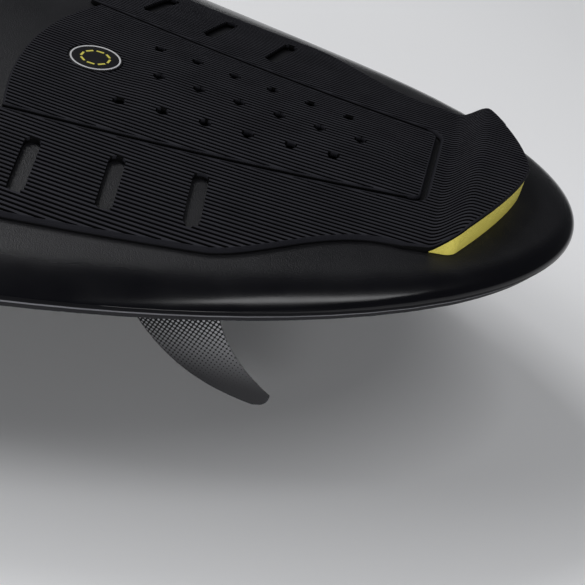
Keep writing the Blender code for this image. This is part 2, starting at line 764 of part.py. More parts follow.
def plate(name, outline, holes, columns, row_step, top, base):
    """Foam sheet over an outline with holes, between two surfaces; columns are the x of its inner points."""
    loops = [outline] + holes
    points = []
    edges = []
    for loop in loops:
        first = len(points)
        points += loop
        edges += [(first + i, first + (i + 1) % len(loop)) for i in range(len(loop))]
    rim_count = len(outline)
    count = math.ceil(max(y for _, y in outline) / row_step)
    rows = [row * row_step for row in range(-count, count + 1)]
    for spot in [(x, y) for x in columns for y in rows]:
        clear = all(edge_distance(spot, loop) > PAD_POINT_MARGIN for loop in loops)
        if clear and inside(spot, outline) and not any(inside(spot, hole) for hole in holes):
            points.append(spot)
    flat = [Vector(point) for point in points]
    corners, _, faces, origins, _, _ = delaunay_2d_cdt(flat, edges, [], 1, WELD / 10)

    triangles = []
    for face in faces:
        middle = sum((corners[i] for i in face), Vector((0, 0))) / len(face)
        if not any(inside(middle, hole) for hole in holes):
            triangles.append(tuple(face))
    directed = {(a, b) for face in triangles for a, b in zip(face, face[1:] + face[:1])}

    bm = bmesh.new()
    upper = []
    lower = []
    for corner, origin in zip(corners, origins):
        bevel = PAD_EDGE_BEVEL if origin and origin[0] < rim_count else 0.0
        upper.append(bm.verts.new((corner.x, corner.y, top(corner.x, corner.y) - bevel)))
        lower.append(bm.verts.new((corner.x, corner.y, base(corner.x, corner.y))))
    for face in triangles:
        bm.faces.new([upper[i] for i in face])
        bm.faces.new([lower[i] for i in reversed(face)])
    for a, b in directed:
        if (b, a) not in directed:
            bm.faces.new((lower[a], lower[b], upper[b], upper[a]))
    loose = [vert for vert in bm.verts if not vert.link_faces]
    bmesh.ops.delete(bm, geom=loose, context="VERTS")
    return finish_mesh(bm, name)


def pad_columns():
    """The x of the pad's inner points: close together up the kick's ramp, wide apart elsewhere."""
    front = from_tail(BAR_NOSE_FROM_TAIL)
    foot = from_tail(KICK_FOOT_FROM_TAIL)
    ramp_end = foot + KICK_RAMP
    rear = from_tail(KICK_TOP_FROM_TAIL)
    wings = np.arange(front, foot - PAD_COLUMN_STEP / 2, PAD_COLUMN_STEP)
    ramp = np.linspace(foot, ramp_end, KICK_COLUMNS + 1)
    top = np.arange(ramp_end + PAD_COLUMN_STEP / 2, rear, PAD_COLUMN_STEP / 2)
    return [float(x) for x in (*wings, *ramp, *top)]


def outer_half():
    """The +Y half of the outer pad, from its front inner corner round to the middle of its rear edge."""
    front = from_tail(PAD_FRONT_FROM_TAIL)
    kick_y = KICK_END_HALF_WIDTH
    waist_x = from_tail(WAIST_FROM_TAIL)
    inner_front = bar_half_width(front) + SIDE_GROOVE
    corners = [(front, inner_front, SIDE_GROOVE * 2), (front, wing_edge(front), WING_CORNER_RADIUS)]
    for x in np.linspace(front + 2 * WING_CORNER_RADIUS, waist_x, 16):
        corners.append((float(x), wing_edge(x), 0))
    kick_x = kick_rear(kick_y)
    for x in pad_columns():
        if waist_x < x < kick_x - KICK_CORNER_RADIUS * 0.6:
            corners.append((x, mix(WAIST_HALF_WIDTH, kick_y, (x - waist_x) / (kick_x - waist_x)), 0))
    corners.append((kick_x, kick_y, KICK_CORNER_RADIUS))
    for y in kick_rows()[:0:-1]:
        corners.append((kick_rear(y), y, 0))
    inner = bar_loop(SIDE_GROOVE, REAR_GROOVE)[1:]
    corners += [(kick_rear(0), 0, 0), (inner[-1][0], 0, 0)]
    corners += [(x, y, 0) for x, y in reversed(inner)]
    return rounded(corners), len(inner) + 1


def outer_loop():
    half, inner_count = outer_half()
    rim = half[:-inner_count]
    throat = half[-inner_count + 1 :]
    rim_loop = rim + [(x, -y) for x, y in reversed(rim[:-1])]
    throat_loop = [(x, -y) for x, y in reversed(throat)] + throat
    return rim_loop + throat_loop


def wing_slots(side):
    loops = []
    for index in range(SLOT_COUNT):
        x = from_tail(SLOT_FRONT_FROM_TAIL) + SLOT_PITCH * index
        offset = mix(SLOT_FRONT_OFFSET, SLOT_REAR_OFFSET, index / (SLOT_COUNT - 1))
        loops.append(slot_loop(x, side * offset, -side * SLOT_SKEW))
    return loops


def drain_holes():
    loops = []
    front = from_tail(HOLE_FRONT_FROM_TAIL)
    for index in range(HOLE_COUNT):
        x = front + HOLE_PITCH * index
        offset = mix(HOLE_FRONT_HALF_SPACING, HOLE_REAR_HALF_SPACING, index / (HOLE_COUNT - 1))
        for place_x, place_y in ((x, offset), (x, -offset), (x + HOLE_STAGGER, 0.0)):
            loops.append(ring_loop(place_x, place_y, HOLE_DIAMETER, HOLE_SIDES))
    return loops


def pad_base(x, y):
    return deck_height(x, y) + GAP


def build_outer_pad():
    holes = wing_slots(-1) + wing_slots(1)

    def top(x, y):
        return pad_base(x, y) + PAD_THICKNESS + kick_rise(x, y)

    def base(x, y):
        return pad_base(x, y) + wedge_lift(x, y)

    outline = dense(outer_loop(), PAD_COLUMN_STEP)
    mesh = plate("pad_outer", outline, holes, pad_columns(), PAD_ROW_STEP, top, base)
    add_object("pad_outer", mesh, ((0.035, 0.035, 0.04), 0.8))


def build_wedge():
    """Wedge under the kick, inside the pad's own edge, from where the cover leaves the deck."""
    half, inner_count = outer_half()
    foot = from_tail(KICK_FOOT_FROM_TAIL)
    runs = np.linspace(0, 1, 60)
    least = (WEDGE_COVER + WEDGE_LEAST) / WEDGE_GAIN / KICK_RISE
    front_x = foot + KICK_RAMP * float(np.interp(least, [ease(run) for run in runs], runs))
    waist_x = from_tail(WAIST_FROM_TAIL)
    run = (front_x - waist_x) / (kick_rear(KICK_END_HALF_WIDTH) - waist_x)
    front_y = mix(WAIST_HALF_WIDTH, KICK_END_HALF_WIDTH, run)
    rim = [point for point in half[:-inner_count] if point[0] > front_x + PAD_POINT_MARGIN]
    edge = [(front_x, front_y)] + rim
    loop = edge + [(x, -y) for x, y in reversed(edge[:-1])]

    def top(x, y):
        return pad_base(x, y) + wedge_lift(x, y) - GAP

    columns = [x for x in pad_columns() if x > front_x]
    front = split((front_x, -front_y), (front_x, front_y), PAD_ROW_STEP)
    mesh = plate("kick_wedge", loop + front[1:], [], columns, PAD_ROW_STEP, top, pad_base)
    add_object("kick_wedge", mesh, ((0.72, 0.66, 0.12), 0.75))


def build_bar():
    """Middle bar with its badge."""
    nose = from_tail(BAR_NOSE_FROM_TAIL)
    shoulder = from_tail(BAR_SHOULDER_FROM_TAIL)
    half = bar_half_width(shoulder)
    front = []
    for share in np.linspace(-1, 1, 13)[1:-1]:
        front.append((mix(nose, shoulder, share * share), share * half))
    side = bar_loop()
    loop = front + side + [(x, -y) for x, y in reversed(side)]

    def top(x, y):
        return pad_base(x, y) + PAD_THICKNESS + arch_rise(x, y)

    outline = dense(loop, PAD_COLUMN_STEP)
    mesh = plate("pad_center", outline, drain_holes(), pad_columns(), PAD_ROW_STEP, top, pad_base)
    bar = add_object("pad_center", mesh, ((0.035, 0.035, 0.04), 0.8))

    x = from_tail(BADGE_FROM_TAIL)
    face = top(x, 0) + BADGE_PROUD
    floor = face - BADGE_THICKNESS
    place = Matrix.Translation((x, 0, 0))
    radius = BADGE_DIAMETER / 2
    disc = cylinder("pad_badge", radius, floor, face, BADGE_SIDES, place)
    add_object("pad_badge", disc, ((0.02, 0.02, 0.022), 0.4))
    recess = cylinder("badge_recess", radius + GAP, floor - GAP, face + PAD_THICKNESS, BADGE_SIDES, place)
    cut(bar, add_object("badge_recess", recess))


clear_scene()
bottom, cores = build_hull()
for side_name, side_sign in SIDES:
    build_fin(side_name, side_sign, bottom, cores[side_name])
build_bar()
build_outer_pad()
build_wedge()
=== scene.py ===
import math

import bmesh
import bpy
import numpy as np
from mathutils import Euler, Matrix, Vector
from mathutils.geometry import delaunay_2d_cdt


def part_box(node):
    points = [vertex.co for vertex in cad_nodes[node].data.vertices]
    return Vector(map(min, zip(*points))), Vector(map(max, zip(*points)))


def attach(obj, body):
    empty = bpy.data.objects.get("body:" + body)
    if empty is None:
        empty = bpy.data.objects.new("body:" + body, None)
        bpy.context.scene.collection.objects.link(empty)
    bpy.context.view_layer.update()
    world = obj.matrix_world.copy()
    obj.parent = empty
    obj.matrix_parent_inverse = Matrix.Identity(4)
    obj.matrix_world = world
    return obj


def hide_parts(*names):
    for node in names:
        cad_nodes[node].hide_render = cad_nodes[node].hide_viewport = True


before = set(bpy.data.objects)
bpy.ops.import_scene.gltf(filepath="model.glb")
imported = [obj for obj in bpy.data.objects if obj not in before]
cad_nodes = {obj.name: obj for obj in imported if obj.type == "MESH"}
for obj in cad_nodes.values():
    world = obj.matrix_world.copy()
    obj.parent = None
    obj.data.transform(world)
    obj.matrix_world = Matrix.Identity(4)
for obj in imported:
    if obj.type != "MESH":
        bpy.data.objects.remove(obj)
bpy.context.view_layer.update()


# The foam blank: two halves of white bead foam, cut to shape with a hot wire.
# The laminate covers them on every side, so they show only when the board is taken apart.
BEAD_FOAM = (0.80, 0.80, 0.77, 1)
BEAD_SEAM = (0.58, 0.58, 0.55, 1)
BEAD_SIZE = 0.0035


def add_node(tree, kind, inputs=None, **settings):
    """A node with its settings made and its inputs set or linked."""
    made = tree.nodes.new(kind)
    for name, value in settings.items():
        setattr(made, name, value)
    for name, value in (inputs or {}).items():
        if isinstance(value, bpy.types.NodeSocket):
            tree.links.new(value, made.inputs[name])
        else:
            made.inputs[name].default_value = value
    return made


def new_finish(name, **sockets):
    """A material, with its node tree and its shader; sockets are values that hold all over the surface."""
    made = bpy.data.materials.new(name)
    made.use_nodes = True
    shader = made.node_tree.nodes["Principled BSDF"]
    for socket, value in sockets.items():
        shader.inputs[socket.replace("_", " ")].default_value = value
    return made, made.node_tree, shader


def object_place(tree):
    return add_node(tree, "ShaderNodeTexCoord").outputs["Object"]


def blend_colors(tree, share, first, second):
    """Colour between two colours, each a value or a socket."""
    mixer = add_node(tree, "ShaderNodeMix", data_type="RGBA")
    for socket, value in zip((mixer.inputs[0], mixer.inputs[6], mixer.inputs[7]), (share, first, second)):
        if isinstance(value, bpy.types.NodeSocket):
            tree.links.new(value, socket)
        else:
            socket.default_value = value
    return mixer.outputs[2]


def remap(tree, value, low, high, to_low=0.0, to_high=1.0, smooth=False):
    """A value drawn from one range to another and held at its ends."""
    inputs = {0: value, 1: low, 2: high, 3: to_low, 4: to_high}
    kind = "SMOOTHSTEP" if smooth else "LINEAR"
    return add_node(tree, "ShaderNodeMapRange", inputs, interpolation_type=kind).outputs[0]


def math_node(tree, operation, first, second=0.0):
    return add_node(tree, "ShaderNodeMath", {0: first, 1: second}, operation=operation).outputs[0]


def add_bump(tree, shader, height, distance, strength=1.0):
    inputs = {"Height": height, "Distance": distance, "Strength": strength}
    bump = add_node(tree, "ShaderNodeBump", inputs)
    tree.links.new(bump.outputs[0], shader.inputs["Normal"])


def dress(node, finish):
    """Gives a carried-over CAD node its finish."""
    slots = cad_nodes[node].data.materials
    slots.clear()
    slots.append(finish)


core_finish, tree, shader = new_finish("bead_foam", Roughness=0.85, Specular_IOR_Level=0.25)
beads = add_node(tree, "ShaderNodeTexVoronoi", {"Vector": object_place(tree), "Scale": 1 / BEAD_SIZE})
seam = remap(tree, beads.outputs["Distance"], 0.35, 0.75, smooth=True)
tree.links.new(blend_colors(tree, seam, BEAD_FOAM, BEAD_SEAM), shader.inputs["Base Color"])
add_bump(tree, shader, math_node(tree, "MULTIPLY", seam, -1.0), 0.0004)
dress("foam_core_left", core_finish)
dress("foam_core_right", core_finish)


# The stringer: a thin plywood web glued between the two halves of the blank, to stiffen the board.
# Its grain runs along the board.
PLY_PALE = (0.56, 0.37, 0.20, 1)
PLY_DARK = (0.36, 0.21, 0.10, 1)

stringer_finish, tree, shader = new_finish("planed_ply", Roughness=0.6)
grain_place = add_node(tree, "ShaderNodeMapping", {"Vector": object_place(tree), "Scale": (6, 220, 220)})
grain = add_node(tree, "ShaderNodeTexNoise", {"Vector": grain_place.outputs[0], "Scale": 2.0, "Detail": 6.0})
grain_share = remap(tree, grain.outputs[0], 0.35, 0.65)
tree.links.new(blend_colors(tree, grain_share, PLY_PALE, PLY_DARK), shader.inputs["Base Color"])
add_bump(tree, shader, grain_share, 0.0002)
dress("stringer", stringer_finish)


# Fin blocks: dense closed-cell foam let into the blank, to carry the load of the fin boxes.
# They are cut from sheet and glued in.
BLOCK_FOAM = (0.62, 0.50, 0.27, 1)
BLOCK_PORE = (0.42, 0.32, 0.15, 1)

block_finish, tree, shader = new_finish("dense_foam", Roughness=0.8)
pores = add_node(tree, "ShaderNodeTexVoronoi", {"Vector": object_place(tree), "Scale": 1400.0})
pore = remap(tree, pores.outputs["Distance"], 0.15, 0.45, 1.0, 0.0)
tree.links.new(blend_colors(tree, pore, BLOCK_FOAM, BLOCK_PORE), shader.inputs["Base Color"])
add_bump(tree, shader, math_node(tree, "MULTIPLY", pore, -1.0), 0.0002)
for side_name in ("left", "right"):
    dress(f"fin_block_{side_name}", block_finish)


# The deck skin: one fibre laminate that crowns over the deck and wraps round the rail to a hard edge.
# The deck is sprayed satin black with a fine grain, and the rail below it is polished gloss black.
# Below the rail it tucks in, matt black, with a painted highlight: a grey line just above the hard edge,
# where that edge catches light.
BOARD_LENGTH = 1.500
BOARD_WIDTH = 0.490
WIDE_POINT_FROM_TAIL = 0.690
TAIL_RUN = 0.428
TAIL_ROUNDNESS = 0.120
NOSE_RUN = 0.430
NOSE_ROUNDNESS = 0.095
TAIL_ROCKER = 0.022
TAIL_ROCKER_RUN = 0.4385
NOSE_ROCKER = 0.085
NOSE_ROCKER_RUN = 0.650
NOSE_ROCKER_POWER = 2.2
THICKNESS = (0.015, 0.050, 0.023)
RAIL_APEX = (0.006, 0.012, 0.007)
NOSE_TAPER_RUN = 0.600
TAIL_TAPER_RUN = 0.550
DECK_FULLNESS = 0.85
TAIL_FULLNESS = 0.42
TAIL_FULLNESS_RUN = 0.270
TAIL_FULLNESS_RAMP = 0.200
RAIL_TUCK = 0.004
RAIL_TUCK_SWEEP = math.radians(70)
DECK_SKIN = 0.0020
BOTTOM_SKIN = 0.0024
BOND = 0.0003
TAIL_FAN_RADIUS = 0.060
NOSE_FAN_RADIUS = 0.080
FAN_LINES = 28
SIDE_LINES = 72
DECK_RINGS = 40
RAIL_RINGS = 8
INSIDE_SHARES = (0, 0.5, 0.8, 0.95, 1)
INSIDE_RAIL_RINGS = 3
HARD_EDGE_SHARE = 2.0
DECK_SHARP = 40
MERGE_REACH = 1e-6
DECK_BLACK = (0.004, 0.004, 0.005, 1)
DECK_GREY = (0.007, 0.007, 0.0085, 1)
RAIL_BLACK = (0.002, 0.002, 0.003, 1)
# Painted highlight on the faces just above the hard edge, in two tones that drift at random.
EDGE_HIGHLIGHT = (0.160, 0.160, 0.175, 1)
EDGE_HIGHLIGHT_DIM = (0.120, 0.120, 0.132, 1)
RAIL_SHARES = (0.80, 0.93)
TUCK_SHARES = (1.04, 1.99)
EDGE_SHARES = (1.48, 1.73)
SPRAY_GRAINS = 1500.0
SPRAY_RELIEF = 0.00012
DECK_SATIN = (0.40, 0.48)
TUCK_SATIN = (0.34, 0.42)
RAIL_POLISH = 0.26

TAIL_X = BOARD_LENGTH / 2
NOSE_X = -BOARD_LENGTH / 2
WIDE_X = TAIL_X - WIDE_POINT_FROM_TAIL
SPINE_ENDS = {1: TAIL_X - TAIL_FAN_RADIUS, -1: NOSE_X + NOSE_FAN_RADIUS}
FLAT_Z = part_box("bottom_shell")[0].z


def ease(share):
    """Smooth step from 0 to 1."""
    share = np.clip(share, 0.0, 1.0)
    return share * share * (3 - 2 * share)


def mix(first, second, share):
    return first + (second - first) * share


def bezier(*points, samples=600):
    t = np.linspace(0, 1, samples)[:, None]
    p0, p1, p2, p3 = (np.array(point, float) for point in points)
    return (1 - t) ** 3 * p0 + 3 * (1 - t) ** 2 * t * p1 + 3 * (1 - t) * t**2 * p2 + t**3 * p3


half_beam = BOARD_WIDTH / 2
nose_half = bezier((NOSE_X, 0), (NOSE_X, NOSE_ROUNDNESS), (WIDE_X - NOSE_RUN, half_beam), (WIDE_X, half_beam))
tail_half = bezier((WIDE_X, half_beam), (WIDE_X + TAIL_RUN, half_beam), (TAIL_X, TAIL_ROUNDNESS), (TAIL_X, 0))
RIM = np.vstack([nose_half, tail_half[1:]])


def fan_table(side):
    """Angles and reaches of the rim round one end of the spine."""
    ahead = side * (RIM[:, 0] - SPINE_ENDS[side])
    points = RIM[ahead >= 0]
    angles = np.arctan2(points[:, 1], side * (points[:, 0] - SPINE_ENDS[side]))
    reaches = np.hypot(points[:, 1], points[:, 0] - SPINE_ENDS[side])
    order = np.argsort(angles)
    return angles[order], reaches[order]


FANS = {side: fan_table(side) for side in (1, -1)}


def rim_share(x, y):
    """How far out points lie between the spine (0) and the rim (1), and the x of their rim points."""
    x, y = (np.array(values) for values in np.broadcast_arrays(x, np.abs(y)))
    share = y / np.maximum(np.interp(x, RIM[:, 0], RIM[:, 1]), 1e-9)
    rim_x = x.astype(float)
    for side, (angles, reaches) in FANS.items():
        beyond = side * (x - SPINE_ENDS[side]) > 0
        run = side * (x[beyond] - SPINE_ENDS[side])
        angle = np.arctan2(y[beyond], run)
        reach = np.interp(angle, angles, reaches)
        share[beyond] = np.hypot(y[beyond], run) / reach
        rim_x[beyond] = SPINE_ENDS[side] + side * reach * np.cos(angle)
    return share, rim_x


def along(x, sizes):
    """A size that keeps its middle value amidships and eases to its nose and tail values."""
    nose, middle, tail = sizes
    toward_tail = ease((x - (TAIL_X - TAIL_TAPER_RUN)) / TAIL_TAPER_RUN)
    toward_nose = ease((NOSE_X + NOSE_TAPER_RUN - x) / NOSE_TAPER_RUN)
    return middle + (tail - middle) * toward_tail + (nose - middle) * toward_nose


def bottom_height(x):
    tail = np.maximum(0.0, (x - TAIL_X) / TAIL_ROCKER_RUN + 1)
    nose = np.maximum(0.0, (NOSE_X - x) / NOSE_ROCKER_RUN + 1)
    return FLAT_Z + TAIL_ROCKER * tail**2 + NOSE_ROCKER * nose**NOSE_ROCKER_POWER


def apex_height(x):
    return bottom_height(x) + along(x, RAIL_APEX)


def crowned(share, x, rim_x, sink=0.0):
    """Height of the deck at a share of the way from spine to rim."""
    apex = apex_height(rim_x)
    crown = bottom_height(x) + along(x, THICKNESS) - sink
    fullness = mix(DECK_FULLNESS, TAIL_FULLNESS, ease((x - TAIL_X + TAIL_FULLNESS_RUN) / TAIL_FULLNESS_RAMP))
    return apex + (crown - apex) * np.maximum(0.0, 1 - share * share) ** fullness


def deck_height(x, y):
    share, rim_x = rim_share(x, y)
    return crowned(share, x, rim_x)


def plan_lines():
    """Lines from the spine to the rim, as (spine x, rim x, rim y), once round from the tail tip."""
    turns = np.linspace(0, math.pi / 2, FAN_LINES + 1)[:-1]
    reach = np.interp(turns, *FANS[1])
    tail_spine = np.full(FAN_LINES, SPINE_ENDS[1])
    tail = np.stack([tail_spine, SPINE_ENDS[1] + reach * np.cos(turns), reach * np.sin(turns)], 1)
    x = np.linspace(SPINE_ENDS[1], SPINE_ENDS[-1], SIDE_LINES)
    sides = np.stack([x, x, np.interp(x, RIM[:, 0], RIM[:, 1])], 1)
    turns = turns[::-1]
    reach = np.interp(turns, *FANS[-1])
    nose_spine = np.full(FAN_LINES, SPINE_ENDS[-1])
    nose = np.stack([nose_spine, SPINE_ENDS[-1] - reach * np.cos(turns), reach * np.sin(turns)], 1)
    half = np.vstack([tail, sides, nose])
    return np.vstack([half, half[-2:0:-1] * (1, 1, -1)])


LINES = plan_lines()


def plan_ring(share, inset):
    """Plan points at a share of the way from the spine to the rim, the rim being drawn in by inset."""
    spine_x, rim_x, rim_y = LINES.T
    reach = np.hypot(rim_x - spine_x, rim_y)
    scale = share * (reach - inset) / reach
    return spine_x + (rim_x - spine_x) * scale, rim_y * scale


def deck_rings(inset, shares, rail_rings):
    """Rings of a skin that lies inset inside the deck and rail, from the spine to the hard edge."""
    rings = []
    for share in shares:
        x, y = plan_ring(share, inset)
        rings.append((share, np.stack([x, y, crowned(share, x, LINES[:, 1], inset)], 1)))
    for step in range(1, rail_rings + 1):
        angle = RAIL_TUCK_SWEEP * step / rail_rings
        tuck = RAIL_TUCK * (1 - math.cos(angle)) / (1 - math.cos(RAIL_TUCK_SWEEP))
        fall = math.sin(angle) / math.sin(RAIL_TUCK_SWEEP)
        x, y = plan_ring(1, inset + tuck)
        floor = bottom_height(x) + BOTTOM_SKIN + BOND
        rings.append((1 + fall, np.stack([x, y, mix(apex_height(LINES[:, 1]), floor, fall)], 1)))
    return rings


def ring_skin(name, rings, sharp):
    """Closed skin through rings of points; each point keeps its share of the way to the rim."""
    bm = bmesh.new()
    layer = bm.verts.layers.float.new("share")
    rows = []
    for share, ring in rings:
        row = [bm.verts.new(point) for point in ring]
        for vert in row:
            vert[layer] = share
        rows.append(row)
    for first, second in zip(rows, rows[1:]):
        for i in range(len(first)):
            j = (i + 1) % len(first)
            bm.faces.new((first[i], second[i], second[j], first[j]))
    bmesh.ops.remove_doubles(bm, verts=bm.verts, dist=MERGE_REACH)
    bmesh.ops.recalc_face_normals(bm, faces=bm.faces)
    return add_piece(name, bm, sharp)


def add_piece(name, bm, sharp):
    """Object from a finished bmesh, smooth but for edges sharper than an angle in degrees."""
    mesh = bpy.data.meshes.new(name)
    bm.to_mesh(mesh)
    bm.free()
    mesh.shade_smooth()
    mesh.set_sharp_from_angle(angle=math.radians(sharp))
    made = bpy.data.objects.new(name, mesh)
    bpy.context.scene.collection.objects.link(made)
    return made


deck_shares = np.sin(np.linspace(0, math.pi / 2, DECK_RINGS))
outside = deck_rings(0.0, deck_shares, RAIL_RINGS)
inside = deck_rings(DECK_SKIN, INSIDE_SHARES, INSIDE_RAIL_RINGS)
inner_rings = [(HARD_EDGE_SHARE, ring) for _, ring in inside[::-1]]
deck_skin = ring_skin("deck_skin", outside + inner_rings, DECK_SHARP)


def grain_group():
    """Fine grain for sprayed, sanded and moulded faces: a tone that drifts slowly, and a close height."""
    group = bpy.data.node_groups.new("fine_grain", "ShaderNodeTree")
    for name, kind in (("Vector", "NodeSocketVector"), ("Scale", "NodeSocketFloat")):
        group.interface.new_socket(name, in_out="INPUT", socket_type=kind)
    for name in ("Tone", "Height"):
        group.interface.new_socket(name, in_out="OUTPUT", socket_type="NodeSocketFloat")
    given = group.nodes.new("NodeGroupInput")
    result = group.nodes.new("NodeGroupOutput")
    slow = math_node(group, "MULTIPLY", given.outputs["Scale"], 0.02)
    drift_inputs = {"Vector": given.outputs["Vector"], "Scale": slow, "Detail": 5.0}
    drift = add_node(group, "ShaderNodeTexNoise", drift_inputs)
    close_inputs = {"Vector": given.outputs["Vector"], "Scale": given.outputs["Scale"], "Detail": 3.0}
    close = add_node(group, "ShaderNodeTexNoise", close_inputs)
    group.links.new(remap(group, drift.outputs[0], 0.3, 0.7), result.inputs["Tone"])
    group.links.new(remap(group, close.outputs[0], 0.25, 0.75), result.inputs["Height"])
    return group


FINE_GRAIN = grain_group()


def fine_grain(tree, scale):
    """The grain's tone and height, at a scale of grains per metre."""
    made = add_node(tree, "ShaderNodeGroup", node_tree=FINE_GRAIN)
    tree.links.new(object_place(tree), made.inputs["Vector"])
    made.inputs["Scale"].default_value = scale
    return made.outputs["Tone"], made.outputs["Height"]


deck_finish, tree, shader = new_finish("sprayed_deck", Specular_IOR_Level=0.3)
share = add_node(tree, "ShaderNodeAttribute", attribute_name="share").outputs["Fac"]
on_rail = remap(tree, share, *RAIL_SHARES, smooth=True)
on_deck = math_node(tree, "SUBTRACT", 1.0, on_rail)
tone, height = fine_grain(tree, SPRAY_GRAINS)
sprayed = blend_colors(tree, tone, DECK_BLACK, DECK_GREY)
tree.links.new(blend_colors(tree, on_rail, sprayed, RAIL_BLACK), shader.inputs["Base Color"])
satin = remap(tree, tone, 0.0, 1.0, *DECK_SATIN)
polish = math_node(tree, "MULTIPLY", on_rail, -RAIL_POLISH)
tree.links.new(math_node(tree, "ADD", satin, polish), shader.inputs["Roughness"])
add_bump(tree, shader, math_node(tree, "MULTIPLY", height, on_deck), SPRAY_RELIEF)
deck_skin.data.materials.append(deck_finish)

tuck_finish, tree, shader = new_finish("rubbed_tuck", Specular_IOR_Level=0.06)
tone, _ = fine_grain(tree, SPRAY_GRAINS)
tree.links.new(blend_colors(tree, tone, RAIL_BLACK, DECK_BLACK), shader.inputs["Base Color"])
tree.links.new(remap(tree, tone, 0.0, 1.0, *TUCK_SATIN), shader.inputs["Roughness"])
# The grey finish just above the hard edge is a painted highlight, standing in for the light that edge
# catches.
edge_highlight_finish, tree, shader = new_finish("rubbed_edge", Specular_IOR_Level=0.3, Roughness=0.4)
tone, _ = fine_grain(tree, SPRAY_GRAINS)
tree.links.new(blend_colors(tree, tone, EDGE_HIGHLIGHT, EDGE_HIGHLIGHT_DIM), shader.inputs["Base Color"])
deck_skin.data.materials.append(tuck_finish)
deck_skin.data.materials.append(edge_highlight_finish)
point_shares = np.zeros(len(deck_skin.data.vertices))
deck_skin.data.attributes["share"].data.foreach_get("value", point_shares)
# Faces just above the hard edge take the painted highlight; the tuck around them stays matt black.
for face in deck_skin.data.polygons:
    middle = point_shares[list(face.vertices)].mean()
    tucked = TUCK_SHARES[0] < middle < TUCK_SHARES[1]
    at_edge = EDGE_SHARES[0] < middle < EDGE_SHARES[1]
    face.material_index = 2 if at_edge else int(tucked)
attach(deck_skin, "hull")
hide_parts("deck_shell")


# The bottom skin: a flat laminate under the board, whose edge shows as a thin grey band below the rail.
# It is sanded along the board, and cut out round the two fin boxes.
FIN_FROM_TAIL = 0.2265
FIN_OFFSET = 0.100
FIN_TOE = math.radians(2)
FIN_BOX_LENGTH = 0.098
FIN_BOX_WIDTH = 0.027
FIN_BOX_CORNER = 0.008
EDGE_ROUND = 0.0005
EDGE_EASE = 0.3 * EDGE_ROUND
BOTTOM_RINGS = 9
BOTTOM_SHARP = 30
ROOM_REACH = 0.02
SANDING_GRAINS = 900.0
SANDING_STROKES = (14, 900, 200)
SANDING_SATIN = (0.28, 0.42)
BOTTOM_GREY = (0.012, 0.012, 0.014, 1)
BOTTOM_DARK = (0.006, 0.006, 0.0075, 1)

FIN_X = TAIL_X - FIN_FROM_TAIL
FIN_PITCH = math.atan(2 * TAIL_ROCKER * ((FIN_X - TAIL_X) / TAIL_ROCKER_RUN + 1) / TAIL_ROCKER_RUN)
SIDES = (("left", -1), ("right", 1))


def fin_place(side):
    """Frame of a fin: its middle on the bottom, pitched to the rocker and toed in."""
    place = Matrix.Translation((FIN_X, side * FIN_OFFSET, float(bottom_height(FIN_X))))
    return place @ Euler((0, -FIN_PITCH, side * FIN_TOE)).to_matrix().to_4x4()


def flat_ring(share, inset, rise):
    x, y = plan_ring(share, RAIL_TUCK + inset)
    return share, np.stack([x, y, bottom_height(x) + rise], 1)


def rounded_box(length, width, radius, steps=8):
    """Loop of (x, y) points of a box with round corners."""
    points = []
    for quarter, (way_x, way_y) in enumerate(((1, 1), (-1, 1), (-1, -1), (1, -1))):
        for turn in np.linspace(quarter, quarter + 1, steps + 1) * math.pi / 2:
            x = way_x * (length / 2 - radius) + radius * math.cos(turn)
            y = way_y * (width / 2 - radius) + radius * math.sin(turn)
            points.append((x, y))
    return points


def prism(bm, loop, low, high):
    """Adds an upright solid on a loop of (x, y) points."""
    base = bm.faces.new([bm.verts.new((x, y, low)) for x, y in loop])
    raised = bmesh.ops.extrude_face_region(bm, geom=[base])["geom"]
    lifted = [item for item in raised if isinstance(item, bmesh.types.BMVert)]
    bmesh.ops.translate(bm, verts=lifted, vec=(0, 0, high - low))


def cut_out(piece, cutter):
    """Cuts one solid out of a piece for good."""
    modifier = piece.modifiers.new("cut", "BOOLEAN")
    modifier.operation = "DIFFERENCE"
    modifier.solver = "EXACT"
    modifier.object = cutter
    bake(piece)
    piece.data.set_sharp_from_angle(angle=math.radians(BOTTOM_SHARP))
    bpy.data.objects.remove(cutter)


def bake(piece):
    """Turns a piece and its modifiers into a plain mesh."""
    ready = piece.evaluated_get(bpy.context.evaluated_depsgraph_get())
    mesh = bpy.data.meshes.new_from_object(ready)
    piece.modifiers.clear()
    piece.data = mesh


floor_shares = np.linspace(0, 1, BOTTOM_RINGS)
top_rings = [flat_ring(share, 0, BOTTOM_SKIN) for share in floor_shares]
edge_rings = [flat_ring(1, 0, EDGE_ROUND), flat_ring(1, EDGE_EASE, EDGE_EASE)]
under_rings = [flat_ring(share, EDGE_ROUND, 0) for share in floor_shares[::-1]]
bottom_skin = ring_skin("bottom_skin", top_rings + edge_rings + under_rings, BOTTOM_SHARP)
for _, side in SIDES:
    bm = bmesh.new()
    room = rounded_box(FIN_BOX_LENGTH + 2 * BOND, FIN_BOX_WIDTH + 2 * BOND, FIN_BOX_CORNER + BOND)
    prism(bm, room, -ROOM_REACH, ROOM_REACH)
    bmesh.ops.recalc_face_normals(bm, faces=bm.faces)
    bm.transform(fin_place(side))
    cut_out(bottom_skin, add_piece("fin_box_room", bm, BOTTOM_SHARP))

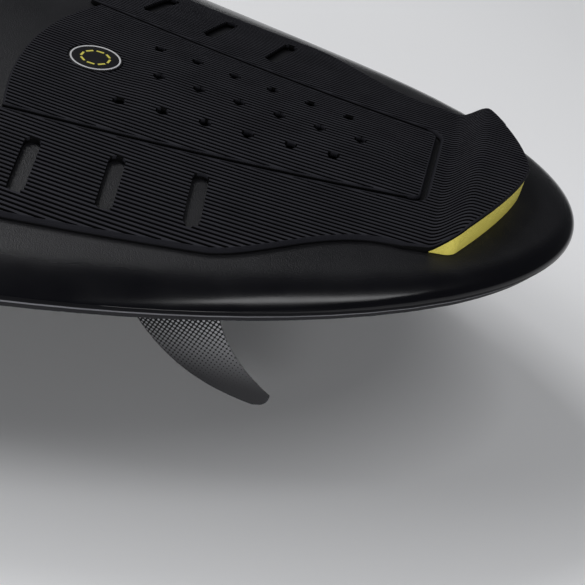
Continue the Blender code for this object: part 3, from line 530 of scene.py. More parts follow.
bottom_finish, tree, shader = new_finish("sanded_bottom", Specular_IOR_Level=0.2)
tone, _ = fine_grain(tree, SANDING_GRAINS)
strokes_place = add_node(tree, "ShaderNodeMapping", {"Vector": object_place(tree), "Scale": SANDING_STROKES})
strokes_inputs = {"Vector": strokes_place.outputs[0], "Scale": 1.0, "Detail": 4.0}
strokes = add_node(tree, "ShaderNodeTexNoise", strokes_inputs)
stroke = remap(tree, strokes.outputs[0], 0.35, 0.7)
tree.links.new(blend_colors(tree, tone, BOTTOM_DARK, BOTTOM_GREY), shader.inputs["Base Color"])
tree.links.new(remap(tree, stroke, 0.0, 1.0, *SANDING_SATIN), shader.inputs["Roughness"])
add_bump(tree, shader, stroke, 0.00003)
bottom_skin.data.materials.clear()
bottom_skin.data.materials.append(bottom_finish)
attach(bottom_skin, "hull")
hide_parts("bottom_shell")


# Fin boxes: black moulded nylon sockets, set flush in the bottom skin.
# Each has two slots for the fin's tabs and two slanted threaded holes for the grub screws.
NYLON = (0.014, 0.014, 0.016, 1)
NYLON_WORN = (0.026, 0.026, 0.028, 1)

box_finish, tree, shader = new_finish("moulded_nylon", Specular_IOR_Level=0.4)
tone, height = fine_grain(tree, 2200.0)
tree.links.new(blend_colors(tree, tone, NYLON, NYLON_WORN), shader.inputs["Base Color"])
tree.links.new(remap(tree, tone, 0.0, 1.0, 0.42, 0.56), shader.inputs["Roughness"])
add_bump(tree, shader, height, 0.00006)
for side_name, _ in SIDES:
    dress(f"fin_box_{side_name}", box_finish)


# Fins: swept foiled blades of moulded composite, each with two tabs that plug into its box.
# A halftone of grey dots on black fades from the root into plain grey at the tip.
FIN_ROOT = 0.080
FIN_FRONT_SETBACK = 0.0052
FIN_DEPTH = 0.0920
FIN_TIP_SETBACK = 0.078
FIN_TIP_CHORD = 0.007
FIN_TIP_RISE = 0.009
FIN_THICKNESS = 0.0066
FIN_TIP_THICKNESS = 0.0024
TAB_LENGTH = 0.022
TAB_THICKNESS = 0.005
TAB_SPACING = 0.046
TAB_TOP = 0.01328
TAB_CORNER = 0.0012
TAB_SINK = 0.002
FIN_LEVELS = 56
FIN_COLUMNS = 22
FIN_SHARP = 40
FOIL_EDGE = 0.13
FOIL_POWERS = (0.62, 0.9)
TIP_STOP = 0.9992
DOT_PITCH = 0.0023
DOT_TURN = math.radians(21.4)
DOT_RADII = (0.02, 0.72)
DOT_RUN = (0.0173, 0.1127)
DOT_SLANT = 0.36
DOT_EDGE = 0.05
DOT_FADE = (0.34, 0.92)
DOT_GREY = (0.340, 0.340, 0.350, 1)
TIP_GREY = (0.034, 0.034, 0.036, 1)
FIN_BLACK = (0.002, 0.002, 0.0025, 1)

fin_heel = FIN_DEPTH - FIN_TIP_RISE
fin_front = bezier(
    (FIN_FRONT_SETBACK - FIN_ROOT / 2, 0),
    (-FIN_ROOT / 6, FIN_DEPTH * 0.3),
    (FIN_TIP_SETBACK * 0.08, FIN_DEPTH),
    (FIN_TIP_SETBACK, FIN_DEPTH),
)
fin_rear = bezier(
    (FIN_ROOT / 2, 0),
    (FIN_ROOT * 0.55, fin_heel * 0.36),
    (FIN_ROOT * 0.62, fin_heel * 0.75),
    (FIN_TIP_SETBACK + FIN_TIP_CHORD, fin_heel),
)


def fin_blade(name, side):
    """Foiled blade with its two tabs, in the place of one fin."""
    bm = bmesh.new()
    chords = (1 - np.cos(np.linspace(0, math.pi, FIN_COLUMNS))) / 2
    foil = FOIL_EDGE + (1 - FOIL_EDGE) * np.sin(math.pi * chords ** FOIL_POWERS[0]) ** FOIL_POWERS[1]
    foil[-1] = FOIL_EDGE
    rows = []
    for level in range(FIN_LEVELS + 1):
        share = math.sin(level / FIN_LEVELS * math.pi / 2)
        depth = mix(BOND, FIN_DEPTH, min(share, TIP_STOP))
        front = np.interp(depth, fin_front[:, 1], fin_front[:, 0])
        rear = np.interp(depth, fin_rear[:, 1], fin_rear[:, 0])
        if depth > fin_heel:
            fall = (depth - fin_heel) / FIN_TIP_RISE
            rear = fin_rear[-1, 0] - FIN_TIP_CHORD * (1 - math.sqrt(1 - fall * fall))
        thick = mix(FIN_THICKNESS, FIN_TIP_THICKNESS, share) / 2
        x = mix(front, rear, chords)
        near = [(u, thick * f, -depth) for u, f in zip(x, foil)]
        rows.append([bm.verts.new(point) for point in near + [(u, -v, w) for u, v, w in near[::-1]]])
    for upper, lower in zip(rows, rows[1:]):
        for i in range(len(upper)):
            j = (i + 1) % len(upper)
            bm.faces.new((upper[i], lower[i], lower[j], upper[j]))
    bm.faces.new(rows[0])
    bm.faces.new(rows[-1])
    for way in (-1, 1):
        loop = rounded_box(TAB_LENGTH, TAB_THICKNESS, TAB_CORNER, 4)
        prism(bm, [(x + way * TAB_SPACING / 2, y) for x, y in loop], -TAB_SINK, TAB_TOP)
    bmesh.ops.remove_doubles(bm, verts=bm.verts, dist=MERGE_REACH)
    bmesh.ops.recalc_face_normals(bm, faces=bm.faces)
    uv = bm.loops.layers.uv.new("fin_map")
    for face in bm.faces:
        for loop in face.loops:
            loop[uv].uv = (loop.vert.co.x / FIN_DEPTH, -loop.vert.co.z / FIN_DEPTH)
    bm.transform(fin_place(side))
    return add_piece(name, bm, FIN_SHARP)


fin_finish, tree, shader = new_finish("halftone_fin", Specular_IOR_Level=0.12)
fin_map = add_node(tree, "ShaderNodeUVMap", uv_map="fin_map").outputs[0]
fin_spot = add_node(tree, "ShaderNodeSeparateXYZ", {0: fin_map})
depth = fin_spot.outputs["Y"]
slanted = math_node(tree, "ADD", depth, math_node(tree, "MULTIPLY", fin_spot.outputs["X"], DOT_SLANT))
dot_scale = FIN_DEPTH / DOT_PITCH
dot_place = add_node(
    tree,
    "ShaderNodeMapping",
    {"Vector": fin_map, "Rotation": (0, 0, -DOT_TURN), "Scale": (dot_scale, dot_scale, 0)},
)
cell = add_node(tree, "ShaderNodeVectorMath", {0: dot_place.outputs[0]}, operation="FRACTION").outputs[0]
from_middle = add_node(tree, "ShaderNodeVectorMath", {0: cell, 1: (0.5, 0.5, 0)}, operation="SUBTRACT")
spread = add_node(tree, "ShaderNodeVectorMath", {0: from_middle.outputs[0]}, operation="LENGTH")
radius = remap(tree, slanted, DOT_RUN[0] / FIN_DEPTH, DOT_RUN[1] / FIN_DEPTH, *DOT_RADII)
inside_dot = remap(tree, math_node(tree, "SUBTRACT", radius, spread.outputs["Value"]), -DOT_EDGE, DOT_EDGE)
tone, height = fine_grain(tree, 1600.0)
dot_tone = blend_colors(tree, remap(tree, depth, *DOT_FADE, smooth=True), DOT_GREY, TIP_GREY)
tree.links.new(blend_colors(tree, inside_dot, FIN_BLACK, dot_tone), shader.inputs["Base Color"])
tree.links.new(remap(tree, tone, 0.0, 1.0, 0.44, 0.54), shader.inputs["Roughness"])
add_bump(tree, shader, height, 0.00005)
for side_name, side in SIDES:
    fin = fin_blade(f"fin_blade_{side_name}", side)
    fin.data.materials.append(fin_finish)
    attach(fin, f"fin_{side_name}")
    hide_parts(f"fin_{side_name}")


# Grub screws: stainless steel with a hexagon socket, two to each fin box.
# They bear on the sides of the fin's tabs.
STEEL = (0.50, 0.50, 0.51, 1)
STEEL_DARK = (0.34, 0.34, 0.35, 1)

screw_finish, tree, shader = new_finish("turned_steel", Metallic=1.0)
tone, height = fine_grain(tree, 5000.0)
tree.links.new(blend_colors(tree, tone, STEEL, STEEL_DARK), shader.inputs["Base Color"])
tree.links.new(remap(tree, height, 0.0, 1.0, 0.22, 0.36), shader.inputs["Roughness"])
add_bump(tree, shader, height, 0.00002)
for side_name, _ in SIDES:
    for place in ("front", "rear"):
        dress(f"fin_screw_{side_name}_{place}", screw_finish)


# The middle bar of the traction pad: ribbed foam sheet, arched under the rear foot, glued to the deck.
# Its ribs run along the board inside a narrow plain border, with three rows of punched drain holes.
# The edges are cut square along the seams, and rounded over elsewhere.
# The finish paints shade near black into the grooves, the seams and down the walls toward their feet.
PAD_THICKNESS = 0.0035
SIDE_GROOVE = 0.0024
REAR_GROOVE = 0.0028
KICK_FOOT_FROM_TAIL = 0.0810
BAR_NOSE_FROM_TAIL = 0.3335
BAR_SHOULDER_FROM_TAIL = 0.3195
BAR_REAR_FROM_TAIL = 0.0905
BAR_FRONT_HALF_WIDTH = 0.0766
BAR_REAR_HALF_WIDTH = 0.0406
BAR_CORNER_RADIUS = 0.006
ARCH_RISE = 0.0026
ARCH_FRONT_FROM_TAIL = 0.283
ARCH_RAMP = 0.035
HOLE_DIAMETER = 0.0074
HOLE_COUNT = 6
HOLE_PITCH = 0.0246
HOLE_FRONT_FROM_TAIL = 0.2671
HOLE_STAGGER = 0.0112
HOLE_HALF_SPACING = (0.0383, 0.0248)
BADGE_DIAMETER = 0.0320
BADGE_FROM_TAIL = 0.2952
RIB_PITCH = 0.0030
GROOVE_WIDTH = 0.0017
GROOVE_FLOOR = 0.0012
GROOVE_DEPTH = 0.0013
RIB_STEP = 0.008
RIM_PROFILE = ((0.0, 0.0005), (0.0002, 0.0001), (0.0005, 0.0), (0.0008, 0.0))
BORDER = 0.0011
RIB_MARGINS = (0.0003, 0.0008)
HOLE_MARGIN = 0.00025
LEAST_RUN = 0.001
RIB_SHARP = 28
OUTLINE_STEP = 0.003
UNDER_STEP = 0.012
UNDER_MARGINS = (0.003, 0.002)
SEAM_SLACK = 0.001
EDGE_FALL = 0.0016
EDGE_FADE = 0.020
# Ribbed marks on the walls that set how far down each wall the painted shade reaches: square-cut rims are
# dark from the top, rounded rims from partway down.
CRISP_RIM = -0.3
SOFT_FOOT = -0.45
RIDGE_GREY = (0.018, 0.018, 0.022, 1)
RIDGE_WORN = (0.026, 0.026, 0.031, 1)
BORDER_GREY = (0.011, 0.011, 0.014, 1)
# Painted shade in the grooves and on the lower walls.
GROOVE_SHADE = (0.0006, 0.0006, 0.0008, 1)


def from_tail(distance):
    return TAIL_X - distance


def pad_base(x, y):
    return deck_height(x, y) + BOND


def bar_half_width(x):
    front = from_tail(BAR_SHOULDER_FROM_TAIL)
    rear = from_tail(BAR_REAR_FROM_TAIL)
    return mix(BAR_FRONT_HALF_WIDTH, BAR_REAR_HALF_WIDTH, (x - front) / (rear - front))


def bar_top(x, y):
    front = from_tail(ARCH_FRONT_FROM_TAIL)
    rear = from_tail(BAR_REAR_FROM_TAIL)
    run = np.minimum(ease((x - front) / ARCH_RAMP), ease((rear - x) / ARCH_RAMP))
    share = np.minimum(1.0, np.abs(y) / bar_half_width(x))
    return pad_base(x, y) + PAD_THICKNESS + ARCH_RISE * run * (1 - share * share)


def rounded(corners, steps=10):
    """Loop of (x, y) points from (x, y, radius) corners, with an arc in place of each rounded corner."""
    loop = []
    for i, (x, y, radius) in enumerate(corners):
        corner = Vector((x, y))
        if radius <= 0:
            loop.append((x, y))
            continue
        before = (Vector(corners[i - 1][:2]) - corner).normalized()
        after = (Vector(corners[(i + 1) % len(corners)][:2]) - corner).normalized()
        half = before.angle(after) / 2
        center = corner + (before + after).normalized() * radius / math.sin(half)
        start = corner + before * radius / math.tan(half) - center
        end = corner + after * radius / math.tan(half) - center
        turn = start.angle_signed(end)
        for step in range(steps + 1):
            spoke = start.copy()
            spoke.rotate(Matrix.Rotation(-turn * step / steps, 2))
            loop.append(tuple(center + spoke))
    return loop


def dense(loop, step):
    """The loop with points at most a step apart."""
    points = []
    for first, last in zip(loop, loop[1:] + loop[:1]):
        count = max(1, math.ceil(math.dist(first, last) / step))
        for i in range(count):
            points.append((mix(first[0], last[0], i / count), mix(first[1], last[1], i / count)))
    return points


def wound(loop, way):
    """The loop as an array that runs counter-clockwise for way +1 and clockwise for -1."""
    loop = np.array(loop)
    x, y = loop.T
    area = (x * np.roll(y, -1) - np.roll(x, -1) * y).sum()
    return loop if area * way > 0 else loop[::-1]


def inset(loop, distance):
    """The loop drawn in to its left side."""
    steps = np.roll(loop, -1, axis=0) - loop
    normals = np.stack([-steps[:, 1], steps[:, 0]], 1) / np.linalg.norm(steps, axis=1)[:, None]
    both = normals + np.roll(normals, 1, axis=0)
    return loop + distance * both * np.minimum(2 / (both**2).sum(1), 3)[:, None]


def inside_loop(points, loop):
    """Which of the points lie inside a loop."""
    found = np.zeros(len(points), bool)
    for (x0, y0), (x1, y1) in zip(loop, np.roll(loop, -1, axis=0)):
        if y0 != y1:
            crosses = (y0 > points[:, 1]) != (y1 > points[:, 1])
            found ^= crosses & (points[:, 0] < x0 + (points[:, 1] - y0) * (x1 - x0) / (y1 - y0))
    return found


def runs_inside(loops, y):
    """Stretches of a line along the board that lie inside the loops."""
    hits = []
    for loop in loops:
        x0, y0 = loop.T
        x1, y1 = np.roll(loop, -1, axis=0).T
        crosses = (y0 > y) != (y1 > y)
        hits += list(x0[crosses] + (y - y0[crosses]) * (x1 - x0)[crosses] / (y1 - y0)[crosses])
    hits.sort()
    return list(zip(hits[::2], hits[1::2]))


def flat_mesh(points, edges, loops):
    """Triangles over the points inside the first loop and outside the others, and each point's new number."""
    made = delaunay_2d_cdt([Vector(point) for point in points], edges, [], 1, 1e-7)
    corners = np.array([tuple(corner) for corner in made[0]])
    faces = np.array([tuple(face) for face in made[2]])
    middles = corners[faces].mean(axis=1)
    keep = np.ones(len(faces), bool)
    for hole in loops[1:]:
        keep &= ~inside_loop(middles, hole)
    number = {}
    for new, old in enumerate(made[3]):
        for index in old:
            number[index] = new
    return corners, faces[keep], number


def rib_lines(reach):
    """The y of each rib's middle, and of the sides and floor edges of each groove, out to a reach."""
    ribs = np.arange(-math.ceil(reach / RIB_PITCH) - 1, math.ceil(reach / RIB_PITCH) + 1) * RIB_PITCH
    grooves = ribs + RIB_PITCH / 2
    sides = np.concatenate([ribs, grooves - GROOVE_WIDTH / 2, grooves + GROOVE_WIDTH / 2])
    floors = np.concatenate([grooves - GROOVE_FLOOR / 2, grooves + GROOVE_FLOOR / 2])
    return sides, floors


def notched(loop):
    """The loop with a point wherever it crosses the edge of a rib's groove."""
    points = []
    lines = np.concatenate(rib_lines(np.abs(loop[:, 1]).max()))
    for first, last in zip(loop, np.roll(loop, -1, axis=0)):
        crossed = lines[(lines - first[1]) * (lines - last[1]) < 0]
        shares = np.sort((crossed - first[1]) / (last[1] - first[1])) if len(crossed) else []
        points += [mix(first, last, share) for share in (0.0, *shares)]
    return np.array(points)


def crispness(loop):
    """How square each point of an outline is cut: 1 along the seams and the kick, 0 on rounded edges."""
    x, y = loop.T
    beside = np.abs(y) - bar_half_width(x)
    seam = (beside > -SEAM_SLACK) & (beside < SIDE_GROOVE + SEAM_SLACK)
    seam &= x < from_tail(BAR_REAR_FROM_TAIL) - BAR_CORNER_RADIUS
    kick = np.clip((x - from_tail(KICK_FOOT_FROM_TAIL)) / EDGE_FADE + 1, 0, 1)
    return np.maximum(seam, np.where(np.abs(y) > BAR_REAR_HALF_WIDTH + 2 * BAR_CORNER_RADIUS, kick, 0))


def foam_sheet(name, outline, holes, top, base, columns):
    """Foam sheet with a rounded rim, and points laid along each rib; columns are the x of those points."""
    loops = [wound(outline, 1)] + [notched(wound(hole, -1)) for hole in holes]
    crisp = crispness(loops[0])
    points, edges, drops, ribbed = [], [], [], []

    def add_loop(loop, drop, rib):
        first = len(points)
        points.extend(map(tuple, loop))
        edges.extend((first + i, first + (i + 1) % len(loop)) for i in range(len(loop)))
        drops.extend(np.broadcast_to(drop, len(loop)))
        ribbed.extend(np.broadcast_to(rib, len(loop)))

    def rim_drop(distance, crisp_drop):
        return mix(EDGE_FALL * (1 - distance / BORDER) ** 2, crisp_drop, crisp)

    # Square-cut rims carry a negative ribbed mark at their top, so their walls take painted shade from the
    # top edge down.
    add_loop(loops[0], rim_drop(*RIM_PROFILE[0]), CRISP_RIM * crisp)
    for hole in loops[1:]:
        add_loop(hole, 0.0, 1.0)
    rim_count = len(points)
    for distance, drop in RIM_PROFILE[1:] + ((BORDER, 0.0),):
        add_loop(inset(loops[0], distance), rim_drop(distance, drop), 0.0)

    reach = max(abs(y) for _, y in outline)
    for lines, margin in zip(rib_lines(reach), RIB_MARGINS):
        bounds = [inset(loops[0], BORDER + margin)] + [inset(hole, HOLE_MARGIN) for hole in loops[1:]]
        for y in lines:
            for start, end in runs_inside(bounds, y):
                if end - start < LEAST_RUN:
                    continue
                inner = columns[(columns > start + LEAST_RUN) & (columns < end - LEAST_RUN)]
                first = len(points)
                points.extend((x, y) for x in (start, *inner, end))
                edges.extend((i, i + 1) for i in range(first, len(points) - 1))
                drops.extend([0.0] * (len(points) - first))
                ribbed.extend([1.0] * (len(points) - first))

    corners, faces, number = flat_mesh(points, edges, loops)
    drop = np.zeros(len(corners))
    rib = np.zeros(len(corners))
    for old, new in number.items():
        drop[new] = max(drop[new], drops[old])
        rib[new] = ribbed[old]
    upper = np.column_stack([corners, top(*corners.T) - drop])

    rim = points[:rim_count]
    rim_edges = edges[:rim_count]
    grid = [(x, y) for x in columns[::2] for y in np.arange(-reach, reach, UNDER_STEP)]
    spots = np.array(grid)
    clear = inside_loop(spots, inset(loops[0], UNDER_MARGINS[0]))
    for hole in loops[1:]:
        clear &= ~inside_loop(spots, inset(hole, UNDER_MARGINS[1]))
    low_corners, low_faces, low_number = flat_mesh(rim + list(map(tuple, spots[clear])), rim_edges, loops)
    lower = np.column_stack([low_corners, base(*low_corners.T)])

    shift = len(upper)
    walls = []
    for first, last in rim_edges:
        walls.append((shift + low_number[first], shift + low_number[last], number[last], number[first]))
    skin = faces.tolist() + (low_faces[:, ::-1] + shift).tolist() + walls
    mesh = bpy.data.meshes.new(name)
    mesh.from_pydata(np.vstack([upper, lower]).tolist(), [], skin)
    layer = mesh.attributes.new("ribbed", "FLOAT", "POINT")
    # Each wall's foot carries a negative ribbed mark, toward which the finish paints shade.
    foot = np.full(len(lower), -1.0)
    for i, share in enumerate(crisp):
        foot[low_number[i]] = mix(SOFT_FOOT, -1.0, share)
    layer.data.foreach_set("value", np.concatenate([rib, foot]))
    mesh.shade_smooth()
    made = bpy.data.objects.new(name, mesh)
    bpy.context.scene.collection.objects.link(made)
    return made


def rib_cutter():
    """Sinks grooves between the ribs of a foam sheet, and marks them for the shade its finish paints in them.
    """
    tree = bpy.data.node_groups.new("rib_cutter", "GeometryNodeTree")
    tree.interface.new_socket("Geometry", in_out="INPUT", socket_type="NodeSocketGeometry")
    for name in ("Pitch", "Groove Width", "Floor Width", "Depth"):
        tree.interface.new_socket(name, in_out="INPUT", socket_type="NodeSocketFloat")
    tree.interface.new_socket("Finish", in_out="INPUT", socket_type="NodeSocketMaterial")
    tree.interface.new_socket("Geometry", in_out="OUTPUT", socket_type="NodeSocketGeometry")
    given = tree.nodes.new("NodeGroupInput").outputs
    result = tree.nodes.new("NodeGroupOutput")
    spot = tree.nodes.new("GeometryNodeInputPosition").outputs[0]
    across = add_node(tree, "ShaderNodeSeparateXYZ", {0: spot})
    turn = math_node(tree, "FRACT", math_node(tree, "DIVIDE", across.outputs["Y"], given["Pitch"]))
    off_middle = math_node(tree, "ABSOLUTE", math_node(tree, "SUBTRACT", turn, 0.5))
    distance = math_node(tree, "MULTIPLY", off_middle, given["Pitch"])
    floor_half = math_node(tree, "MULTIPLY", given["Floor Width"], 0.5)
    groove_half = math_node(tree, "MULTIPLY", given["Groove Width"], 0.5)
    sunk = remap(tree, distance, floor_half, groove_half, 1.0, 0.0)
    ribbed = add_node(tree, "GeometryNodeInputNamedAttribute", {"Name": "ribbed"}, data_type="FLOAT")
    groove = math_node(tree, "MAXIMUM", math_node(tree, "MULTIPLY", sunk, ribbed.outputs[0]), 0.0)
    fall = math_node(tree, "MULTIPLY", math_node(tree, "MULTIPLY", groove, given["Depth"]), -1.0)
    offset = add_node(tree, "ShaderNodeCombineXYZ", {"Z": fall}).outputs[0]
    marked = add_node(
        tree,
        "GeometryNodeStoreNamedAttribute",
        {"Geometry": given["Geometry"], "Name": "groove", "Value": groove},
        data_type="FLOAT",
        domain="POINT",
    )
    moved = add_node(tree, "GeometryNodeSetPosition", {"Geometry": marked.outputs[0], "Offset": offset})
    real = add_node(tree, "GeometryNodeRealizeInstances", {"Geometry": moved.outputs[0]})
    finish = {"Geometry": real.outputs[0], "Material": given["Finish"]}
    dressed = add_node(tree, "GeometryNodeSetMaterial", finish)
    tree.links.new(dressed.outputs[0], result.inputs["Geometry"])
    return tree


RIB_CUTTER = rib_cutter()


def run_tree(piece, tree, **values):
    """Runs a node tree on a piece with its named inputs, and keeps the result as a plain mesh."""
    modifier = piece.modifiers.new(tree.name, "NODES")
    modifier.node_group = tree
    for item in tree.interface.items_tree:
        key = item.name.replace(" ", "_")
        if item.in_out == "INPUT" and key in values:
            modifier[item.identifier] = values[key]
    bake(piece)


def cut_ribs(piece, finish):
    run_tree(
        piece,
        RIB_CUTTER,
        Pitch=RIB_PITCH,
        Groove_Width=GROOVE_WIDTH,
        Floor_Width=GROOVE_FLOOR,
        Depth=GROOVE_DEPTH,
        Finish=finish,
    )
    piece.data.set_sharp_from_angle(angle=math.radians(RIB_SHARP))


pad_finish, tree, shader = new_finish("ribbed_foam", Specular_IOR_Level=0.08)
groove = add_node(tree, "ShaderNodeAttribute", attribute_name="groove").outputs["Fac"]
ribbed = add_node(tree, "ShaderNodeAttribute", attribute_name="ribbed").outputs["Fac"]
tone, height = fine_grain(tree, 2600.0)
ridge = blend_colors(tree, tone, RIDGE_GREY, RIDGE_WORN)
plain = blend_colors(tree, remap(tree, ribbed, 0.0, 1.0), BORDER_GREY, ridge)
# Painted shade: near black down into each groove, and down each wall toward its foot.
groove_shade = remap(tree, groove, 0.0, 0.2)
wall_shade = remap(tree, ribbed, CRISP_RIM, CRISP_RIM / 3, 1.0, 0.0)
painted_shade = math_node(tree, "MAXIMUM", groove_shade, wall_shade)
tree.links.new(blend_colors(tree, painted_shade, plain, GROOVE_SHADE), shader.inputs["Base Color"])
tree.links.new(remap(tree, tone, 0.0, 1.0, 0.62, 0.74), shader.inputs["Roughness"])
add_bump(tree, shader, height, 0.00008)

bar_nose = from_tail(BAR_NOSE_FROM_TAIL)
bar_shoulder = from_tail(BAR_SHOULDER_FROM_TAIL)
bar_rear = from_tail(BAR_REAR_FROM_TAIL)
bar_front = []
for share in np.linspace(-1, 1, 41)[1:-1]:
    bar_front.append((mix(bar_nose, bar_shoulder, share * share), share * BAR_FRONT_HALF_WIDTH))


def bar_side(grow_side=0.0, grow_rear=0.0):
    """The +Y side of the middle bar and its rear corner, grown for the groove round it."""
    back = BAR_REAR_HALF_WIDTH + grow_side
    corner = (bar_rear + grow_rear, back, BAR_CORNER_RADIUS + grow_rear)
    ends = (bar_shoulder, BAR_FRONT_HALF_WIDTH + grow_side, 0), (bar_rear + grow_rear, -back, 0)
    return rounded([ends[0], corner, ends[1]])[:-1]


def ring_loop(x, y, radius, sides=28):
    turns = np.arange(sides) * 2 * math.pi / sides
    return [(x + radius * math.cos(turn), y + radius * math.sin(turn)) for turn in turns]


drain_holes = []
for index in range(HOLE_COUNT):
    hole_x = from_tail(HOLE_FRONT_FROM_TAIL) + HOLE_PITCH * index
    spacing = mix(*HOLE_HALF_SPACING, index / (HOLE_COUNT - 1))
    for place in ((hole_x, spacing), (hole_x, -spacing), (hole_x + HOLE_STAGGER, 0.0)):
        drain_holes.append(ring_loop(*place, HOLE_DIAMETER / 2))
badge_seat = ring_loop(from_tail(BADGE_FROM_TAIL), 0.0, BADGE_DIAMETER / 2 + BOND, 64)
side_line = bar_side()
bar_loop = dense(bar_front + side_line + [(x, -y) for x, y in side_line[::-1]], OUTLINE_STEP)
bar_columns = np.arange(bar_nose, bar_rear, RIB_STEP)
bar_holes = drain_holes + [badge_seat]
middle_bar = foam_sheet("pad_middle_bar", bar_loop, bar_holes, bar_top, pad_base, bar_columns)
cut_ribs(middle_bar, pad_finish)
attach(middle_bar, "hull")
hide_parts("pad_center")


# The badge: a thin black plastic disc let into the middle bar, with a raised white ring at its edge.
# Its face carries a plain ring of yellow dashes, moulded in.
BADGE_THICKNESS = 0.0014
BADGE_PROUD = 0.0002
BADGE_SIDES = 96
BADGE_CHAMFER = 0.0003
BADGE_SHARP = 30
RING_FEET = (0.0021, 0.00105)
RING_TOPS = (0.00195, 0.0012)
RING_RISE = 0.0002
BADGE_BLACK = (0.004, 0.004, 0.005, 1), (0.007, 0.007, 0.008, 1)
BADGE_WHITE = (0.52, 0.52, 0.53, 1), (0.46, 0.46, 0.46, 1)
BADGE_YELLOW = (0.62, 0.56, 0.10, 1), (0.52, 0.47, 0.09, 1)
DASH_COUNT = 8
DASH_RADIUS = 0.0082
DASH_SIZE = (0.0046, 0.0013, 0.0003)


def moulded(name, color, worn):
    """Moulded plastic with a fine grain."""
    finish, tree, shader = new_finish(name, Specular_IOR_Level=0.15)
    tone, height = fine_grain(tree, 3000.0)
    tree.links.new(blend_colors(tree, tone, color, worn), shader.inputs["Base Color"])
    tree.links.new(remap(tree, tone, 0.0, 1.0, 0.36, 0.5), shader.inputs["Roughness"])
    add_bump(tree, shader, height, 0.00003)
    return finish


def dash_ring():
    """Bars set round a circle, each lying along it."""
    tree = bpy.data.node_groups.new("dash_ring", "GeometryNodeTree")
    tree.interface.new_socket("Geometry", in_out="INPUT", socket_type="NodeSocketGeometry")
    tree.interface.new_socket("Count", in_out="INPUT", socket_type="NodeSocketInt")
    tree.interface.new_socket("Radius", in_out="INPUT", socket_type="NodeSocketFloat")
    tree.interface.new_socket("Size", in_out="INPUT", socket_type="NodeSocketVector")
    tree.interface.new_socket("Center", in_out="INPUT", socket_type="NodeSocketVector")
    tree.interface.new_socket("Finish", in_out="INPUT", socket_type="NodeSocketMaterial")
    tree.interface.new_socket("Geometry", in_out="OUTPUT", socket_type="NodeSocketGeometry")
    given = tree.nodes.new("NodeGroupInput").outputs
    result = tree.nodes.new("NodeGroupOutput")
    circle = add_node(tree, "GeometryNodeMeshCircle", {"Vertices": given["Count"], "Radius": given["Radius"]})
    bar = add_node(tree, "GeometryNodeMeshCube", {"Size": given["Size"]})
    spot = tree.nodes.new("GeometryNodeInputPosition")
    turned = add_node(tree, "FunctionNodeAlignRotationToVector", {"Vector": spot.outputs[0]}, axis="Y")
    copies = add_node(
        tree,
        "GeometryNodeInstanceOnPoints",
        {"Points": circle.outputs[0], "Instance": bar.outputs[0], "Rotation": turned.outputs[0]},
    )
    real = add_node(tree, "GeometryNodeRealizeInstances", {"Geometry": copies.outputs[0]})
    shift = {"Geometry": real.outputs[0], "Offset": given["Center"]}
    placed = add_node(tree, "GeometryNodeSetPosition", shift)
    finish = {"Geometry": placed.outputs[0], "Material": given["Finish"]}
    dressed = add_node(tree, "GeometryNodeSetMaterial", finish)
    tree.links.new(dressed.outputs[0], result.inputs["Geometry"])
    return tree


badge_x = from_tail(BADGE_FROM_TAIL)
badge_face = float(bar_top(np.array([badge_x]), 0.0)[0]) + BADGE_PROUD
badge_radius = BADGE_DIAMETER / 2
badge_profile = (
    (0.0, 0.0, 0),
    (badge_radius - RING_FEET[0], 0.0, 0),
    (badge_radius - RING_TOPS[0], RING_RISE, 1),
    (badge_radius - RING_TOPS[1], RING_RISE, 1),
    (badge_radius - RING_FEET[1], 0.0, 0),
    (badge_radius - BADGE_CHAMFER, 0.0, 0),
    (badge_radius, -BADGE_CHAMFER, 0),
    (badge_radius, -BADGE_THICKNESS, 0),
    (0.0, -BADGE_THICKNESS, 0),
)
bm = bmesh.new()
badge_rows = []
for radius, rise, _ in badge_profile:
    loop = ring_loop(badge_x, 0.0, max(radius, 1e-7), BADGE_SIDES)
    badge_rows.append([bm.verts.new((x, y, badge_face + rise)) for x, y in loop])
for index, (first, second) in enumerate(zip(badge_rows, badge_rows[1:])):
    for i in range(BADGE_SIDES):
        j = (i + 1) % BADGE_SIDES
        face = bm.faces.new((first[i], second[i], second[j], first[j]))
        face.material_index = 1 if badge_profile[index][2] or badge_profile[index + 1][2] else 0
bmesh.ops.remove_doubles(bm, verts=bm.verts, dist=2e-6)
bmesh.ops.recalc_face_normals(bm, faces=bm.faces)
badge = add_piece("badge_disc", bm, BADGE_SHARP)
badge.data.materials.append(moulded("badge_black", *BADGE_BLACK))
badge.data.materials.append(moulded("badge_white", *BADGE_WHITE))
dashes = bpy.data.objects.new("badge_dashes", bpy.data.meshes.new("badge_dashes"))
bpy.context.scene.collection.objects.link(dashes)
run_tree(
    dashes,
    dash_ring(),
    Count=DASH_COUNT,
    Radius=DASH_RADIUS,
    Size=DASH_SIZE,
    Center=(badge_x, 0.0, badge_face),
    Finish=moulded("badge_yellow", *BADGE_YELLOW),
)
for piece in (badge, dashes):
    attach(piece, "hull")
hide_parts("pad_badge")


